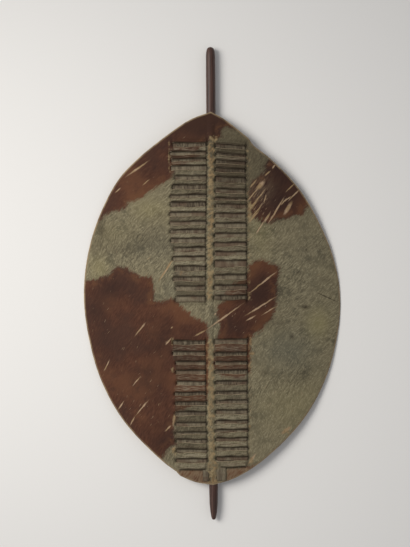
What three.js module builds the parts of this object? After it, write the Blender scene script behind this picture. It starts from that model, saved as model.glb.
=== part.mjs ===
// Hide shield: a stiff cowhide oval, four woven lacing strips, a wooden stave and the rawhide ties that
// hold it. Millimetres. The shield lies on its back: +X right, +Y towards the stave's upper end, +Z up
// through the hair side. The origin is on the ground under the middle of the stave.

import * as THREE from 'three';
import { mergeVertices } from 'three/addons/utils/BufferGeometryUtils.js';

// Driving dimensions
const GAP = 0.3;                  // air between pieces that lie against each other

const STAVE_LENGTH = 1095;
const STAVE_SIDES = 16;
const STAVE_LOW_RADIUS = 10.2;    // where it leaves the foot of the hide
const STAVE_HIGH_RADIUS = 11.1;   // just under its upper end
// Radius and distance from the end, at the lower end and at the upper one
const STAVE_FOOT = [[0, 0], [3.8, 1.5], [5.8, 7], [8, 19], [9.6, 36]];
const STAVE_HEAD = [[10.7, 17], [9.4, 8], [6.2, 2], [0, 0]];
const STAVE_RINGS_Y = [-480, -240, 0, 240, 480];

const HIDE_LENGTH = 857;
const HIDE_MIDDLE_Y = -34;        // the stave stands out further at the top than at the foot
const HIDE_THICKNESS = 3.2;
const WIDEST_Y = -4;              // from the hide's middle
const CURL_FROM_X = HIDE_LENGTH / 6;   // nearer the stave than this, the rim stands clear of the ground
const EDGE_FINENESS = 24;         // points on the edge's curve for each point that it is drawn through
const BOW_DEPTH = 20;             // how far the hide's middle stands above its two points
const ROW_STEP_Y = 55;            // spacing of the plain surface's rows
const OUTER_X = [96, 116, 142, 168, 196, 226, 252, 272];   // the plain surface's stations beside the columns
const LEFT_ROUNDING_X = [-82, -78, -66, -34, -24];         // extra ones where the edge rounds a column's end
const RIGHT_ROUNDING_X = [20, 32, 56, 66];
const RIDGE_RISE = 2.5;           // the hide between the columns is pushed out by the stave

const BAR_FRONT = 3.6;            // a visible bar stands this far in front of the hide
const BAR_BACK = 3.4;             // a hidden bar is pushed this far behind it
const BAR_SHOULDER = 5;           // a bar reaches its full height this far from the end of its slit
const SLIT_WIDTH = 1;
const EDGE_FADE = 15;             // the hide beyond the first and last slit flattens out over this length

const STRIP_CLEAR = 6;            // from each edge of a strip to the end of its slits
const STRIP_THICKNESS = 2.2;
const STRIP_HIDDEN_END = 16;
const STRIP_WEAVE = 0.4;          // the strip gives a little towards each opening
const TAIL_TUCK = 3;              // a tail has narrowed this far above the slit that it comes out of

const TIE_WIDTH = 24;
const TIE_THICKNESS = 2.2;
const TIE_FLANGE = 18;            // length of each end that lies against the hide
const TIE_BEND = 3;               // from the stave's side to that end
const TIE_FLAT = 11;              // width of the flat that it lies on
const TIE_OUTER_TURNS = [50, 70, 90];               // degrees up from the ground, round the stave
const TIE_INNER_TURNS = [90, 72, 54, 36, 18, 0];
const TIE_PLACES_Y = [366, 243, 35, -135, -301, -407];

const SAME_PLACE = 1e-6;
const MERGE_DISTANCE = 1e-3;

// The hide's edge from its upper point to its lower one, x and y from its middle. Smooth curves run through
// the points of each run. Runs meet in corners: a nick in the upper right edge, a step low on the left.
const RIGHT_EDGE = [
  [[0, 428], [31, 410], [86, 366]],
  [[86, 366], [96, 351], [137, 318], [200, 252], [244, 180], [282, 88], [297, -4], [288, -96],
    [261, -188], [209, -280], [116, -372], [50, -413], [0, -429]],
];
const LEFT_EDGE = [
  [[0, 428], [-48, 410], [-116, 364], [-173, 318], [-216, 272], [-264, 180], [-290, 88], [-297, -4],
    [-285, -96], [-258, -188], [-207, -280], [-119, -372], [-82, -400]],
  [[-82, -400], [-78, -407]],
  [[-78, -407], [-42, -422], [0, -429]],
];

// The slits are cut by eye. Each group of rows has the height of its first slit, the steps from row to row,
// the share of a row in which the strip shows, how far a slit drops across its column in the first rows, and
// whether the strip comes out in front once more below the last bar, as a tail.
const LEFT_COLUMN = { from: -90, to: -10 };
const RIGHT_COLUMN = { from: 6, to: 82 };
const GROUPS = {
  lacing_upper_left: {
    column: LEFT_COLUMN, first: 358, share: 0.5, drop: 0, tail: null,
    steps: [21, 16, 16, 23, 21, 23, 17, 23, 21, 19, 20, 21, 21, 21, 25, 21, 23, 26],
  },
  lacing_upper_right: {
    column: RIGHT_COLUMN, first: 353, share: 0.5, drop: 7, tail: null,
    steps: [21, 16, 18, 20, 28, 20, 14, 21, 23, 23, 21, 21, 20, 33, 24, 23, 21],
  },
  lacing_lower_left: {
    column: LEFT_COLUMN, first: -96, share: 0.4, drop: 0, tail: { from: -28, to: -16, length: 26 },
    steps: [25, 23, 20, 25, 25, 22, 23, 25, 22, 17, 23, 22, 26],
  },
  lacing_lower_right: {
    column: RIGHT_COLUMN, first: -93, share: 0.4, drop: 0, tail: { from: 12, to: 31, length: 30 },
    steps: [31, 21, 19, 25, 24, 20, 23, 24, 21, 19, 22, 22, 25],
  },
};
const SLANTED_ROWS = 9;

const HIDE_COLOUR = 0x6b5444;
const STRIP_COLOUR = 0x6f675c;
const STAVE_COLOUR = 0x4a352b;
const TIE_COLOUR = 0x8a6f4e;
const HAIR_ROUGHNESS = 0.8;
const WOOD_ROUGHNESS = 0.5;
const RAWHIDE_ROUGHNESS = 0.7;

// The hide's edge as a fine ring of points for each side, and its two readings: x at a height, y at a width
function smoothRun(points) {
  const corners = points.map(([x, y]) => new THREE.Vector3(x, y, 0));
  const curve = new THREE.CatmullRomCurve3(corners, false, 'centripetal');
  return curve.getPoints(points.length > 2 ? points.length * EDGE_FINENESS : 1);
}

const rightRing = RIGHT_EDGE.flatMap(smoothRun);
const leftRing = LEFT_EDGE.flatMap(smoothRun);

function readRing(ring, known, wanted, value, keep) {
  for (let i = 1; i < ring.length; i += 1) {
    const a = ring[i - 1];
    const b = ring[i];
    const crosses = (a[known] - value) * (b[known] - value) <= 0 && a[known] !== b[known];
    if (crosses && keep(a, b)) {
      return THREE.MathUtils.mapLinear(value, a[known], b[known], a[wanted], b[wanted]);
    }
  }
  return ring[ring.length - 1][wanted];
}

function edgeY(x, upper) {
  const ring = x < 0 ? leftRing : rightRing;
  const onUpperHalf = (a, b) => Math.min(a.y, b.y) >= WIDEST_Y - 1;
  const onLowerHalf = (a, b) => Math.max(a.y, b.y) <= WIDEST_Y + 1;
  return readRing(ring, 'x', 'y', x, upper ? onUpperHalf : onLowerHalf);
}

function edgeX(y, left) {
  return readRing(left ? leftRing : rightRing, 'y', 'x', y, () => true);
}

// The hide's middle surface: bowed along its length and curled back towards its sides, so that it lies on
// the lowest points of its rim and the points of the oval lie on the stave.
const staveAxisZ = TIE_THICKNESS + GAP + STAVE_HIGH_RADIUS;
const pointHeight = staveAxisZ + STAVE_HIGH_RADIUS + GAP + HIDE_THICKNESS / 2;

function bow(y) {
  return pointHeight + BOW_DEPTH * (1 - (2 * y / HIDE_LENGTH) ** 2);
}

const curl = Math.min(...[...leftRing, ...rightRing]
  .filter((p) => Math.abs(p.x) > CURL_FROM_X)
  .map((p) => (bow(p.y) - HIDE_THICKNESS / 2) / p.x ** 2));

function hideZ(x, y) {
  return bow(y) - curl * x * x;
}

// The rows of one group: for each, its slits and how they slant
function rowsOf(group) {
  const rows = [];
  let top = group.first;
  group.steps.forEach((step, i) => {
    const slant = -group.drop * Math.max(0, 1 - i / SLANTED_ROWS) / (group.column.to - group.column.from);
    rows.push({ top, bottom: top - step * group.share, next: top - step, slant });
    top -= step;
  });
  return rows;
}

// The cuts across a column from its foot up. Each band of hide between two cuts is in front of the strip
// (1), behind it (-1), or plain hide that fades from the level of the cut next to it.
function cutsOf(upperGroup, lowerGroup) {
  const cuts = [];
  [upperGroup, lowerGroup].forEach((group) => {
    const rows = rowsOf(group);
    rows.forEach((row, i) => {
      cuts.push({ y: row.top, slant: row.slant, above: 1, below: -1 });
      cuts.push({ y: row.bottom, slant: row.slant, above: -1, below: 1 });
      if (group.tail && i === rows.length - 1) {
        cuts.push({ y: row.next, slant: row.slant, above: 1, below: -1 });
      }
    });
  });
  return cuts.reverse();
}

// A closed body is gathered as loose triangles between its front and its back and merged at the end
class Skin {
  constructor(thickness) {
    this.half = thickness / 2;
    this.numbers = [];
  }

  triangle(a, b, c) {
    this.numbers.push(...a, ...b, ...c);
  }

  front([x, y, z]) {
    return [x, y, z + this.half];
  }

  back([x, y, z]) {
    return [x, y, z - this.half];
  }

  // Front and back faces between two chains of points that both run upwards, the second further right
  panel(left, right) {
    let i = 0;
    let j = 0;
    const apart = (p, q) => Math.hypot(p[0] - q[0], p[1] - q[1]) > SAME_PLACE;
    const face = (a, b, c) => {
      if (apart(a, b) && apart(b, c) && apart(a, c)) {
        this.triangle(this.front(a), this.front(b), this.front(c));
        this.triangle(this.back(a), this.back(c), this.back(b));
      }
    };
    while (i < left.length - 1 || j < right.length - 1) {
      const leftNext = i < left.length - 1 ? left[i + 1][1] : Infinity;
      const rightNext = j < right.length - 1 ? right[j + 1][1] : Infinity;
      if (leftNext < rightNext) {
        face(left[i], right[j], left[i + 1]);
        i += 1;
      } else {
        face(left[i], right[j], right[j + 1]);
        j += 1;
      }
    }
  }

  // The cut edge along a chain that has the body on its left
  wall(chain) {
    for (let i = 1; i < chain.length; i += 1) {
      const a = chain[i - 1];
      const b = chain[i];
      this.triangle(this.back(a), this.back(b), this.front(b));
      this.triangle(this.back(a), this.front(b), this.front(a));
    }
  }

  // The cut edges along the feet and the heads of a run of chains
  closeEnds(chains) {
    this.wall(chains.map((chain) => chain[0]));
    this.wall(chains.map((chain) => chain[chain.length - 1]).reverse());
  }

  geometry() {
    const loose = new THREE.BufferGeometry();
    loose.setAttribute('position', new THREE.Float32BufferAttribute(this.numbers, 3));
    return mergeVertices(loose, MERGE_DISTANCE);
  }
}

// Heights at which a plain stretch between two heights gets points
function plainSteps(low, high) {
  const count = Math.max(1, Math.round((high - low) / ROW_STEP_Y));
  return Array.from({ length: count + 1 }, (_, i) => THREE.MathUtils.lerp(low, high, i / count));
}

// How far into its full level a bar is at x: none at the ends of its slit, all past its shoulders
function shoulder(x, column) {
  const inside = Math.min(x - column.from, column.to - x);
  return THREE.MathUtils.clamp(inside / BAR_SHOULDER, 0, 1);
}

function bandOffset(level, x, column) {
  return level * (level > 0 ? BAR_FRONT : BAR_BACK) * shoulder(x, column);
}

function buildHide() {
  const skin = new Skin(HIDE_THICKNESS);
  const plain = (x, y) => [x, y, hideZ(x, y)];
  const columns = [
    { ...LEFT_COLUMN, cuts: cutsOf(GROUPS.lacing_upper_left, GROUPS.lacing_lower_left) },
    { ...RIGHT_COLUMN, cuts: cutsOf(GROUPS.lacing_upper_right, GROUPS.lacing_lower_right) },
  ];

  const cutY = (cut, x, column) => cut.y + cut.slant * (x - (column.from + column.to) / 2);
  const slitHalf = (x, column) => Math.min(1, Math.min(x - column.from, column.to - x)) * SLIT_WIDTH / 2;

  // One band of a column at one x, from its lower cut or edge to its upper one
  function bandChain(column, band, x) {
    const lowCut = column.cuts[band - 1];
    const highCut = column.cuts[band];
    const low = lowCut ? cutY(lowCut, x, column) + slitHalf(x, column) : edgeY(x, false);
    const high = highCut ? cutY(highCut, x, column) - slitHalf(x, column) : edgeY(x, true);
    const lowLevel = lowCut ? lowCut.above : 0;
    const highLevel = highCut ? highCut.below : 0;
    const point = (y, offset) => [x, y, hideZ(x, y) + offset];
    const chain = [point(low, bandOffset(lowLevel, x, column))];
    if (!(lowCut && highCut && high - low < 2 * EDGE_FADE)) {
      const flatLow = low + (lowCut ? EDGE_FADE : 0);
      const flatHigh = high - (highCut ? EDGE_FADE : 0);
      plainSteps(flatLow, flatHigh).forEach((y) => {
        if (y > low + 1 && y < high - 1) {
          chain.push(point(y, 0));
        }
      });
    }
    chain.push(point(high, bandOffset(highLevel, x, column)));
    return chain;
  }

  // A whole column at one end of its slits, where every band meets the plain hide
  function columnEnd(column, x) {
    const chain = [];
    for (let band = 0; band <= column.cuts.length; band += 1) {
      const part = bandChain(column, band, x);
      chain.push(...(band === 0 ? part : part.slice(1)));
    }
    return chain;
  }

  function plainChain(x) {
    return plainSteps(edgeY(x, false), edgeY(x, true)).map((y) => plain(x, y));
  }

  // The slit columns, band by band; bands that end at the hide's edge get extra stations to round it
  columns.forEach((column) => {
    const { from, to, cuts } = column;
    const bar = [from, from + BAR_SHOULDER, (from + to) / 2, to - BAR_SHOULDER, to];
    const rounded = [...bar, ...(from < 0 ? LEFT_ROUNDING_X : RIGHT_ROUNDING_X)].sort((a, b) => a - b);
    for (let band = 0; band <= cuts.length; band += 1) {
      const open = band === 0 || band === cuts.length;
      const chains = (open ? rounded : bar).map((x) => bandChain(column, band, x));
      for (let i = 1; i < chains.length; i += 1) {
        skin.panel(chains[i - 1], chains[i]);
      }
      skin.closeEnds(chains);
    }
  });

  // Everything else, as runs of whole stations from left to right
  const ridgeX = (LEFT_COLUMN.to + RIGHT_COLUMN.from) / 2;
  const ridge = plainChain(ridgeX).map(([x, y, z], i, all) => {
    const inside = i > 0 && i < all.length - 1;
    return [x, y, z + (inside ? RIDGE_RISE : 0)];
  });
  const sideArc = (x, left) => {
    const steps = plainSteps(edgeY(x, false), edgeY(x, true)).slice(1, -1);
    const heights = steps.flatMap((y) => [y - ROW_STEP_Y / 4, y + ROW_STEP_Y / 4]);
    const arc = heights.map((y) => plain(edgeX(y, left), y));
    return [plain(x, edgeY(x, false)), ...arc, plain(x, edgeY(x, true))];
  };
  const sideX = OUTER_X[OUTER_X.length - 1];
  const leftX = OUTER_X.slice(1).reverse().map((x) => -x);
  const leftRun = [...leftX.map(plainChain), columnEnd(columns[0], LEFT_COLUMN.from)];
  const middleRun = [columnEnd(columns[0], LEFT_COLUMN.to), ridge, columnEnd(columns[1], RIGHT_COLUMN.from)];
  const rightRun = [columnEnd(columns[1], RIGHT_COLUMN.to), ...OUTER_X.map(plainChain)];
  const leftArc = sideArc(-sideX, true);
  const rightArc = sideArc(sideX, false);
  [[leftArc, ...leftRun], middleRun, [...rightRun, rightArc]].forEach((run) => {
    for (let i = 1; i < run.length; i += 1) {
      skin.panel(run[i - 1], run[i]);
    }
  });
  [leftRun, middleRun, rightRun].forEach((run) => skin.closeEnds(run));
  skin.wall(leftArc.reverse());
  skin.wall(rightArc);
  return skin.geometry();
}

// A lacing strip: tucked behind the hide above its first slit, woven down the rows, and at the foot either
// tucked behind again or narrowed into a tail that lies in front.
function buildStrip(group) {
  const skin = new Skin(STRIP_THICKNESS);
  const { column, tail } = group;
  const rows = rowsOf(group);
  const tucked = -(HIDE_THICKNESS + STRIP_THICKNESS) / 2 - GAP * 2;
  const laidOn = -tucked;
  const across = (from, to) => [from, (from + to) / 2, to];
  const wide = across(column.from + STRIP_CLEAR, column.to - STRIP_CLEAR);
  const last = rows[rows.length - 1];
  const levels = [];
  const level = (y, z, row, xs = wide) => levels.push({ y, z, slant: row.slant, xs });
  level(group.first + STRIP_HIDDEN_END, tucked, rows[0]);
  level(group.first, 0, rows[0]);
  rows.forEach((row) => {
    level((row.top + row.bottom) / 2, STRIP_WEAVE, row);
    if (row !== last || tail) level((row.bottom + row.next) / 2, -STRIP_WEAVE, row);
  });
  if (tail) {
    const narrow = across(tail.from, tail.to);
    level(last.next + TAIL_TUCK, 0, last, narrow);
    level(last.next - EDGE_FADE, laidOn, last, narrow);
    level(last.next - tail.length, laidOn, last, narrow);
  } else {
    level(last.bottom, 0, last);
    level(last.bottom - STRIP_HIDDEN_END, tucked, last);
  }
  levels.reverse();
  const middle = wide[1];
  const chains = [0, 1, 2].map((k) => levels.map(({ y, z, slant, xs }) => {
    const slantedY = y + slant * (xs[k] - middle);
    return [xs[k], slantedY, hideZ(xs[k], slantedY) + z];
  }));
  skin.panel(chains[0], chains[1]);
  skin.panel(chains[1], chains[2]);
  skin.closeEnds(chains);
  skin.wall(chains[0].reverse());
  skin.wall(chains[2]);
  return skin.geometry();
}

// The stave: a round stick, thicker towards the top, with a rounded upper end and a long blunt point
function staveRadius(y) {
  const half = STAVE_LENGTH / 2;
  return THREE.MathUtils.mapLinear(y, -half, half, STAVE_LOW_RADIUS, STAVE_HIGH_RADIUS);
}

function buildStave() {
  const half = STAVE_LENGTH / 2;
  const profile = [
    ...STAVE_FOOT.map(([r, up]) => [r, up - half]),
    ...STAVE_RINGS_Y.map((y) => [staveRadius(y), y]),
    ...STAVE_HEAD.map(([r, down]) => [r, half - down]),
  ];
  return new THREE.LatheGeometry(profile.map(([r, y]) => new THREE.Vector2(r, y)), STAVE_SIDES);
}

// A rawhide tie: a flat strap that passes under the stave, flat where it meets the ground, and lies with
// both ends against the hide's back.
function buildTie(y) {
  const hideY = y - HIDE_MIDDLE_Y;
  const inner = staveRadius(y) + GAP;
  const outer = inner + TIE_THICKNESS;
  const flangeUnder = -(BAR_BACK + HIDE_THICKNESS / 2 + GAP) - TIE_THICKNESS;
  const flangeFrom = outer + TIE_BEND;
  const flangeTo = flangeFrom + TIE_FLANGE;
  const under = (x) => hideZ(x, hideY) + flangeUnder;
  const round = (radius, degrees) => {
    const angle = THREE.MathUtils.degToRad(degrees);
    return [radius * Math.sin(angle), staveAxisZ - radius * Math.cos(angle)];
  };
  const right = [
    [TIE_FLAT / 2, 0],
    ...TIE_OUTER_TURNS.map((degrees) => round(outer, degrees)),
    [flangeFrom, under(flangeFrom)],
    [flangeTo, under(flangeTo)],
    [flangeTo, under(flangeTo) + TIE_THICKNESS],
    [flangeFrom - 1, under(flangeFrom) + TIE_THICKNESS],
    ...TIE_INNER_TURNS.map((degrees) => round(inner, degrees)),
  ];
  const left = right.slice(0, -1).reverse().map(([x, z]) => [-x, z]);
  const shape = new THREE.Shape([...right, ...left].map(([x, z]) => new THREE.Vector2(x, z)));
  const geometry = new THREE.ExtrudeGeometry(shape, { depth: TIE_WIDTH, bevelEnabled: false, steps: 1 });
  geometry.rotateX(Math.PI / 2);
  geometry.translate(0, y + TIE_WIDTH / 2, 0);
  const position = geometry.attributes.position;
  for (let i = 0; i < position.count; i += 1) {
    const climb = THREE.MathUtils.clamp((position.getZ(i) - staveAxisZ) / (under(0) - staveAxisZ), 0, 1);
    const lean = bow(position.getY(i) - HIDE_MIDDLE_Y) - bow(hideY);
    position.setZ(i, position.getZ(i) + climb * lean);
  }
  return geometry;
}

const hideMaterial = new THREE.MeshStandardMaterial({ color: HIDE_COLOUR, roughness: HAIR_ROUGHNESS });
const stripMaterial = new THREE.MeshStandardMaterial({ color: STRIP_COLOUR, roughness: HAIR_ROUGHNESS });
const staveMaterial = new THREE.MeshStandardMaterial({ color: STAVE_COLOUR, roughness: WOOD_ROUGHNESS });
const tieMaterial = new THREE.MeshStandardMaterial({ color: TIE_COLOUR, roughness: RAWHIDE_ROUGHNESS });

function piece(name, geometry, material) {
  const mesh = new THREE.Mesh(geometry, material);
  mesh.name = name;
  return mesh;
}

const shield = new THREE.Group();
const hideAndLacing = new THREE.Group();
hideAndLacing.position.y = HIDE_MIDDLE_Y;
hideAndLacing.add(piece('hide', buildHide(), hideMaterial));
Object.entries(GROUPS).forEach(([name, group]) => {
  hideAndLacing.add(piece(name, buildStrip(group), stripMaterial));
});
const stave = piece('stave', buildStave(), staveMaterial);
stave.position.z = staveAxisZ;
shield.add(hideAndLacing, stave);
TIE_PLACES_Y.forEach((y, i) => {
  shield.add(piece(`stave_tie_${i + 1}`, buildTie(y), tieMaterial));
});

export default shield;
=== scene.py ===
# %% [markdown]
# # A cowhide war shield
# The real shield is one stiff oval of cowhide with the hair left on, laced down its middle with wide hide
# strips and carried on a round wooden stave. The solids give every piece its size and place. This notebook
# dresses them: it makes a finer mesh for each piece on the same measures, paints the coat with shader
# nodes, and lights the shield as it lies on its back on a pale floor.

# %% Load the solids
import math
from collections import namedtuple

import bpy
import numpy as np
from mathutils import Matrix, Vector


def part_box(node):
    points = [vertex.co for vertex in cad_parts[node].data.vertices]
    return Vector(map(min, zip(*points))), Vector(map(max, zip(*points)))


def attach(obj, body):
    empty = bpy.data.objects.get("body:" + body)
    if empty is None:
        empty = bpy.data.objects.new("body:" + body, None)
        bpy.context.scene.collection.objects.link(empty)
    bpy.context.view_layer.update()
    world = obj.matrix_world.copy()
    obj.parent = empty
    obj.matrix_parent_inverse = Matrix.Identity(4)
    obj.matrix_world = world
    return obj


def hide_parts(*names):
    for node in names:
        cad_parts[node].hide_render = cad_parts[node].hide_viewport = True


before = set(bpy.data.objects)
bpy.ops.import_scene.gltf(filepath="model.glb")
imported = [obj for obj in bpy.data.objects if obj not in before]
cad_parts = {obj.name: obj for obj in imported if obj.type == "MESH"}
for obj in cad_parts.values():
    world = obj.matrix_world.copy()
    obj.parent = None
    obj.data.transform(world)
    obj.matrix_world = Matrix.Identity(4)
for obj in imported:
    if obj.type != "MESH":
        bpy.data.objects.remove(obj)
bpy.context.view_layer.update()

MM = 0.001
scene = bpy.context.scene

# %% [markdown]
# ## The measures the pieces share
# Lengths are in millimetres and become metres only when a mesh is made. The hide's own middle is the middle
# of the drawing, as it was for whoever cut it, and it lies a little below the middle of the stave. The
# stave's height is read from its solid, and everything above it is stacked on that.

# %% Shared measures
HIDE_MIDDLE_Y = -34.0
HIDE_LENGTH = 857.0
HIDE_THICKNESS = 3.2
BOW_DEPTH = 20.0
BAR_FRONT = 3.6
BAR_BACK = 3.4
BAR_SHOULDER = 5.0
EDGE_FADE = 15.0
RIDGE_RISE = 2.2
STRIP_THICKNESS = 2.2
GAP = 0.3
LEFT_COLUMN = (-90.0, -10.0)
RIGHT_COLUMN = (6.0, 82.0)

stave_low, stave_high = (np.array(corner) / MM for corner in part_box("stave"))
stave_axis_z = (stave_low[2] + stave_high[2]) / 2
STAVE_HIGH_RADIUS = 11.1
point_height = stave_axis_z + STAVE_HIGH_RADIUS + GAP + HIDE_THICKNESS / 2
print("stave axis at", round(stave_axis_z, 2), "mm, hide's points at", round(point_height, 2), "mm")

# %% [markdown]
# ## The outline
# A shield like this is drawn on the hide and cut with a knife, so its edge is smooth but not symmetrical.
# It could be an ellipse, but then its pointed top and the fuller left shoulder would be lost. A curve
# through a few points on each side keeps them, with corners where the knife slipped: a nick high on the
# right and a step low on the left.

# %% The hide's edge
RIGHT_EDGE = [
    [(0, 428), (31, 410), (86, 366)],
    [(86, 366), (96, 351), (137, 318), (200, 252), (244, 180), (282, 88), (297, -4), (288, -96),
     (261, -188), (209, -280), (116, -372), (50, -413), (0, -429)],
]
LEFT_EDGE = [
    [(0, 428), (-48, 410), (-116, 364), (-173, 318), (-216, 272), (-264, 180), (-290, 88), (-297, -4),
     (-285, -96), (-258, -188), (-207, -280), (-119, -372), (-82, -400)],
    [(-82, -400), (-78, -407)],
    [(-78, -407), (-42, -422), (0, -429)],
]


def smooth_run(points, per_point=24):
    """A centripetal Catmull-Rom curve through the points; two points stay a straight cut."""
    p = np.array(points, float)
    if len(p) < 3:
        return p
    ends = np.vstack([2 * p[0] - p[1], p, 2 * p[-1] - p[-2]])
    ring = []
    steps = len(p) * per_point
    for i in range(steps + 1):
        t = i / steps * (len(p) - 1)
        k = min(int(t), len(p) - 2)
        a, b, c, d = ends[k:k + 4]
        da, db, dc = (math.sqrt(np.linalg.norm(v - u)) for u, v in ((a, b), (b, c), (c, d)))
        start = ((b - a) / da - (c - a) / (da + db) + (c - b) / db) * db
        finish = ((c - b) / db - (d - b) / (db + dc) + (d - c) / dc) * db
        u = t - k
        square = -3 * b + 3 * c - 2 * start - finish
        cube = 2 * b - 2 * c + start + finish
        ring.append(b + start * u + square * u ** 2 + cube * u ** 3)
    return np.array(ring)


right_ring = np.vstack([smooth_run(run) for run in RIGHT_EDGE])
left_ring = np.vstack([smooth_run(run) for run in LEFT_EDGE])
hide_ring = np.vstack([right_ring, left_ring[::-1]])
WIDEST_Y = -4.0


def edge_y(x, upper):
    """Height of the edge at x, on its upper or its lower half."""
    ring = left_ring if x < 0 else right_ring
    half = ring[ring[:, 1] >= WIDEST_Y - 1] if upper else ring[ring[:, 1] <= WIDEST_Y + 1]
    order = np.argsort(np.abs(half[:, 0]), kind="stable")
    return float(np.interp(abs(x), np.abs(half[order, 0]), half[order, 1]))


def edge_x(y, left):
    """Distance of the edge from the stave's line at a height."""
    ring = left_ring if left else right_ring
    return float(np.interp(-y, -ring[:, 1], ring[:, 0]))


print("edge at the foot of the columns:", round(edge_y(-50, False)), round(edge_y(50, False)))

# %% [markdown]
# ## The hide's own shape
# Rawhide dries stiff and never quite flat. The hide is bowed along the stave, which leaves room for the
# fingers, and curls back towards its sides. Random waves with a fixed seed add the slow warp that every
# dried hide has.

# %% The middle surface
rng = np.random.default_rng(11)


def wave_field(longest, shortest, height, count=14, boost=1.6):
    """A smooth random relief of plane waves; the boost makes up for crests that seldom meet."""
    length = np.exp(rng.uniform(np.log(shortest), np.log(longest), count))
    angle = rng.uniform(0, math.tau, count)
    phase = rng.uniform(0, math.tau, count)
    size = height * length / length.sum() * boost

    def field(x, y):
        along = x[..., None] * np.cos(angle) + y[..., None] * np.sin(angle)
        return (size * np.sin(math.tau * along / length + phase)).sum(-1)

    return field


warp = wave_field(520, 150, 2.2)
dents = wave_field(70, 26, 0.55)


def bow(y):
    return point_height + BOW_DEPTH * (1 - (2 * y / HIDE_LENGTH) ** 2)


CURL_FROM_X = HIDE_LENGTH / 6             # nearer the stave, the rim stands clear of the ground
WARP_END_X, WARP_END_Y = 300.0, 430.0     # the warp dies out towards the rim
WARP_FADE_Y = 120.0
STAVE_HOLD = 60.0                         # and this close to the stave, which holds the hide straight
side_points = hide_ring[np.abs(hide_ring[:, 0]) > CURL_FROM_X]
curl = float(((bow(side_points[:, 1]) - HIDE_THICKNESS / 2) / side_points[:, 0] ** 2).min())


def hide_z(x, y):
    """The hide's middle surface, still on the ground at its widest points and on the stave at its ends."""
    x, y = np.asarray(x, float), np.asarray(y, float)
    from_points = np.clip((WARP_END_Y - np.abs(y)) / WARP_FADE_Y, 0, 1)
    from_stave = np.clip(np.abs(x) / STAVE_HOLD, 0, 1)
    calm = np.clip((1 - (x / WARP_END_X) ** 4) * from_points * from_stave, 0, 1)
    return bow(y) - curl * x * x + warp(x, y) * calm


rim_z = bow(hide_ring[:, 1]) - curl * hide_ring[:, 0] ** 2
print("curl", round(curl * 1e4, 3), "per 10 m; rim lowest at", round(float(rim_z.min()), 2), "mm")

# %% [markdown]
# ## The rows of slits
# Each column is a ladder of slits cut by eye. Between one slit and the next the hide passes in front of the
# strip or behind it. The same short description as in the solids gives every row, so the mesh and the
# solids agree.

# %% Rows and cuts
SLANTED_ROWS = 9
GROUPS = {
    "lacing_upper_left": dict(
        column=LEFT_COLUMN, first=358, share=0.5, drop=0, tail=None,
        steps=[21, 16, 16, 23, 21, 23, 17, 23, 21, 19, 20, 21, 21, 21, 25, 21, 23, 26],
        starts=[0, -8, -3, -4, 3, -3, -8, -6, -8, -8, -8, -6, 0, -2, 3, -2, 4, 4], inner=(-7.5, -12.5)),
    "lacing_upper_right": dict(
        column=RIGHT_COLUMN, first=353, share=0.5, drop=7, tail=None,
        steps=[21, 16, 18, 20, 28, 20, 14, 21, 23, 23, 21, 21, 20, 33, 24, 23, 21],
        starts=[0], inner=(8.5, 1.8)),
    "lacing_lower_left": dict(
        column=LEFT_COLUMN, first=-96, share=0.4, drop=0, tail=(-24, -12, 26),
        steps=[25, 23, 20, 25, 25, 22, 23, 25, 22, 17, 23, 22, 26], starts=[-2, -3, 4, 3, 5, 0, 2],
        inner=(-14.5, -11.5)),
    "lacing_lower_right": dict(
        column=RIGHT_COLUMN, first=-93, share=0.4, drop=0, tail=(8, 28, 30),
        steps=[31, 21, 19, 25, 24, 20, 23, 24, 21, 19, 22, 22, 25], starts=[0], inner=(2.5, 4.5)),
}


HAND_ERROR = 0.9              # the knife starts and ends a slit this far off the line
LOWER_SHORTER = 1.0           # the lower slit of a window is this much shorter at each end
TAIL_SHORTER = (9.0, 5.0)     # and the slit that a tail comes out of, left and right
LEFT_MARGINS = (13.0, 4.5)    # a column is drawn finely this far past its ends
RIGHT_MARGINS = (6.0, 3.0)
Row = namedtuple("Row", "top bottom following slant start finish")
Cut = namedtuple("Cut", "y slant above below start finish")     # 1 where the hide is in front, -1 behind


def rows_of(group):
    """Each row from the first down, with the top of the following one and the two ends of its slits."""
    low, high = group["column"]
    rows, top = [], group["first"]
    count = len(group["steps"])
    for i, step in enumerate(group["steps"]):
        slant = -group["drop"] * max(0, 1 - i / SLANTED_ROWS) / (high - low)
        outer_shift = group["starts"][min(i, len(group["starts"]) - 1)]
        inner = np.interp(i, (0, count - 1), group["inner"])
        ends = (low + outer_shift, inner) if high < 0 else (inner, high - outer_shift)
        ends = np.array(ends) + rng.uniform(-HAND_ERROR, HAND_ERROR, 2)
        rows.append(Row(top, top - step * group["share"], top - step, slant, *map(float, ends)))
        top -= step
    return rows


def cuts_of(*groups):
    """The cuts across a column, from its foot up."""
    cuts = []
    for group in groups:
        for row in group["rows"]:
            start, finish = row.start, row.finish
            cuts.append(Cut(row.top, row.slant, 1, -1, start, finish))
            cuts.append(Cut(row.bottom, row.slant, -1, 1, start + LOWER_SHORTER, finish - LOWER_SHORTER))
        if group["tail"]:
            start, finish = start + TAIL_SHORTER[0], finish - TAIL_SHORTER[1]
            cuts.append(Cut(row.following, row.slant, 1, -1, start, finish))
    return cuts[::-1]


for group in GROUPS.values():
    group["rows"] = rows_of(group)
COLUMNS = [
    dict(span=(LEFT_COLUMN[0] - LEFT_MARGINS[0], LEFT_COLUMN[1] + LEFT_MARGINS[1]),
         cuts=cuts_of(GROUPS["lacing_upper_left"], GROUPS["lacing_lower_left"])),
    dict(span=(RIGHT_COLUMN[0] - RIGHT_MARGINS[0], RIGHT_COLUMN[1] + RIGHT_MARGINS[1]),
         cuts=cuts_of(GROUPS["lacing_upper_right"], GROUPS["lacing_lower_right"])),
]
print("cuts in the two columns:", [len(column["cuts"]) for column in COLUMNS])

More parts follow.
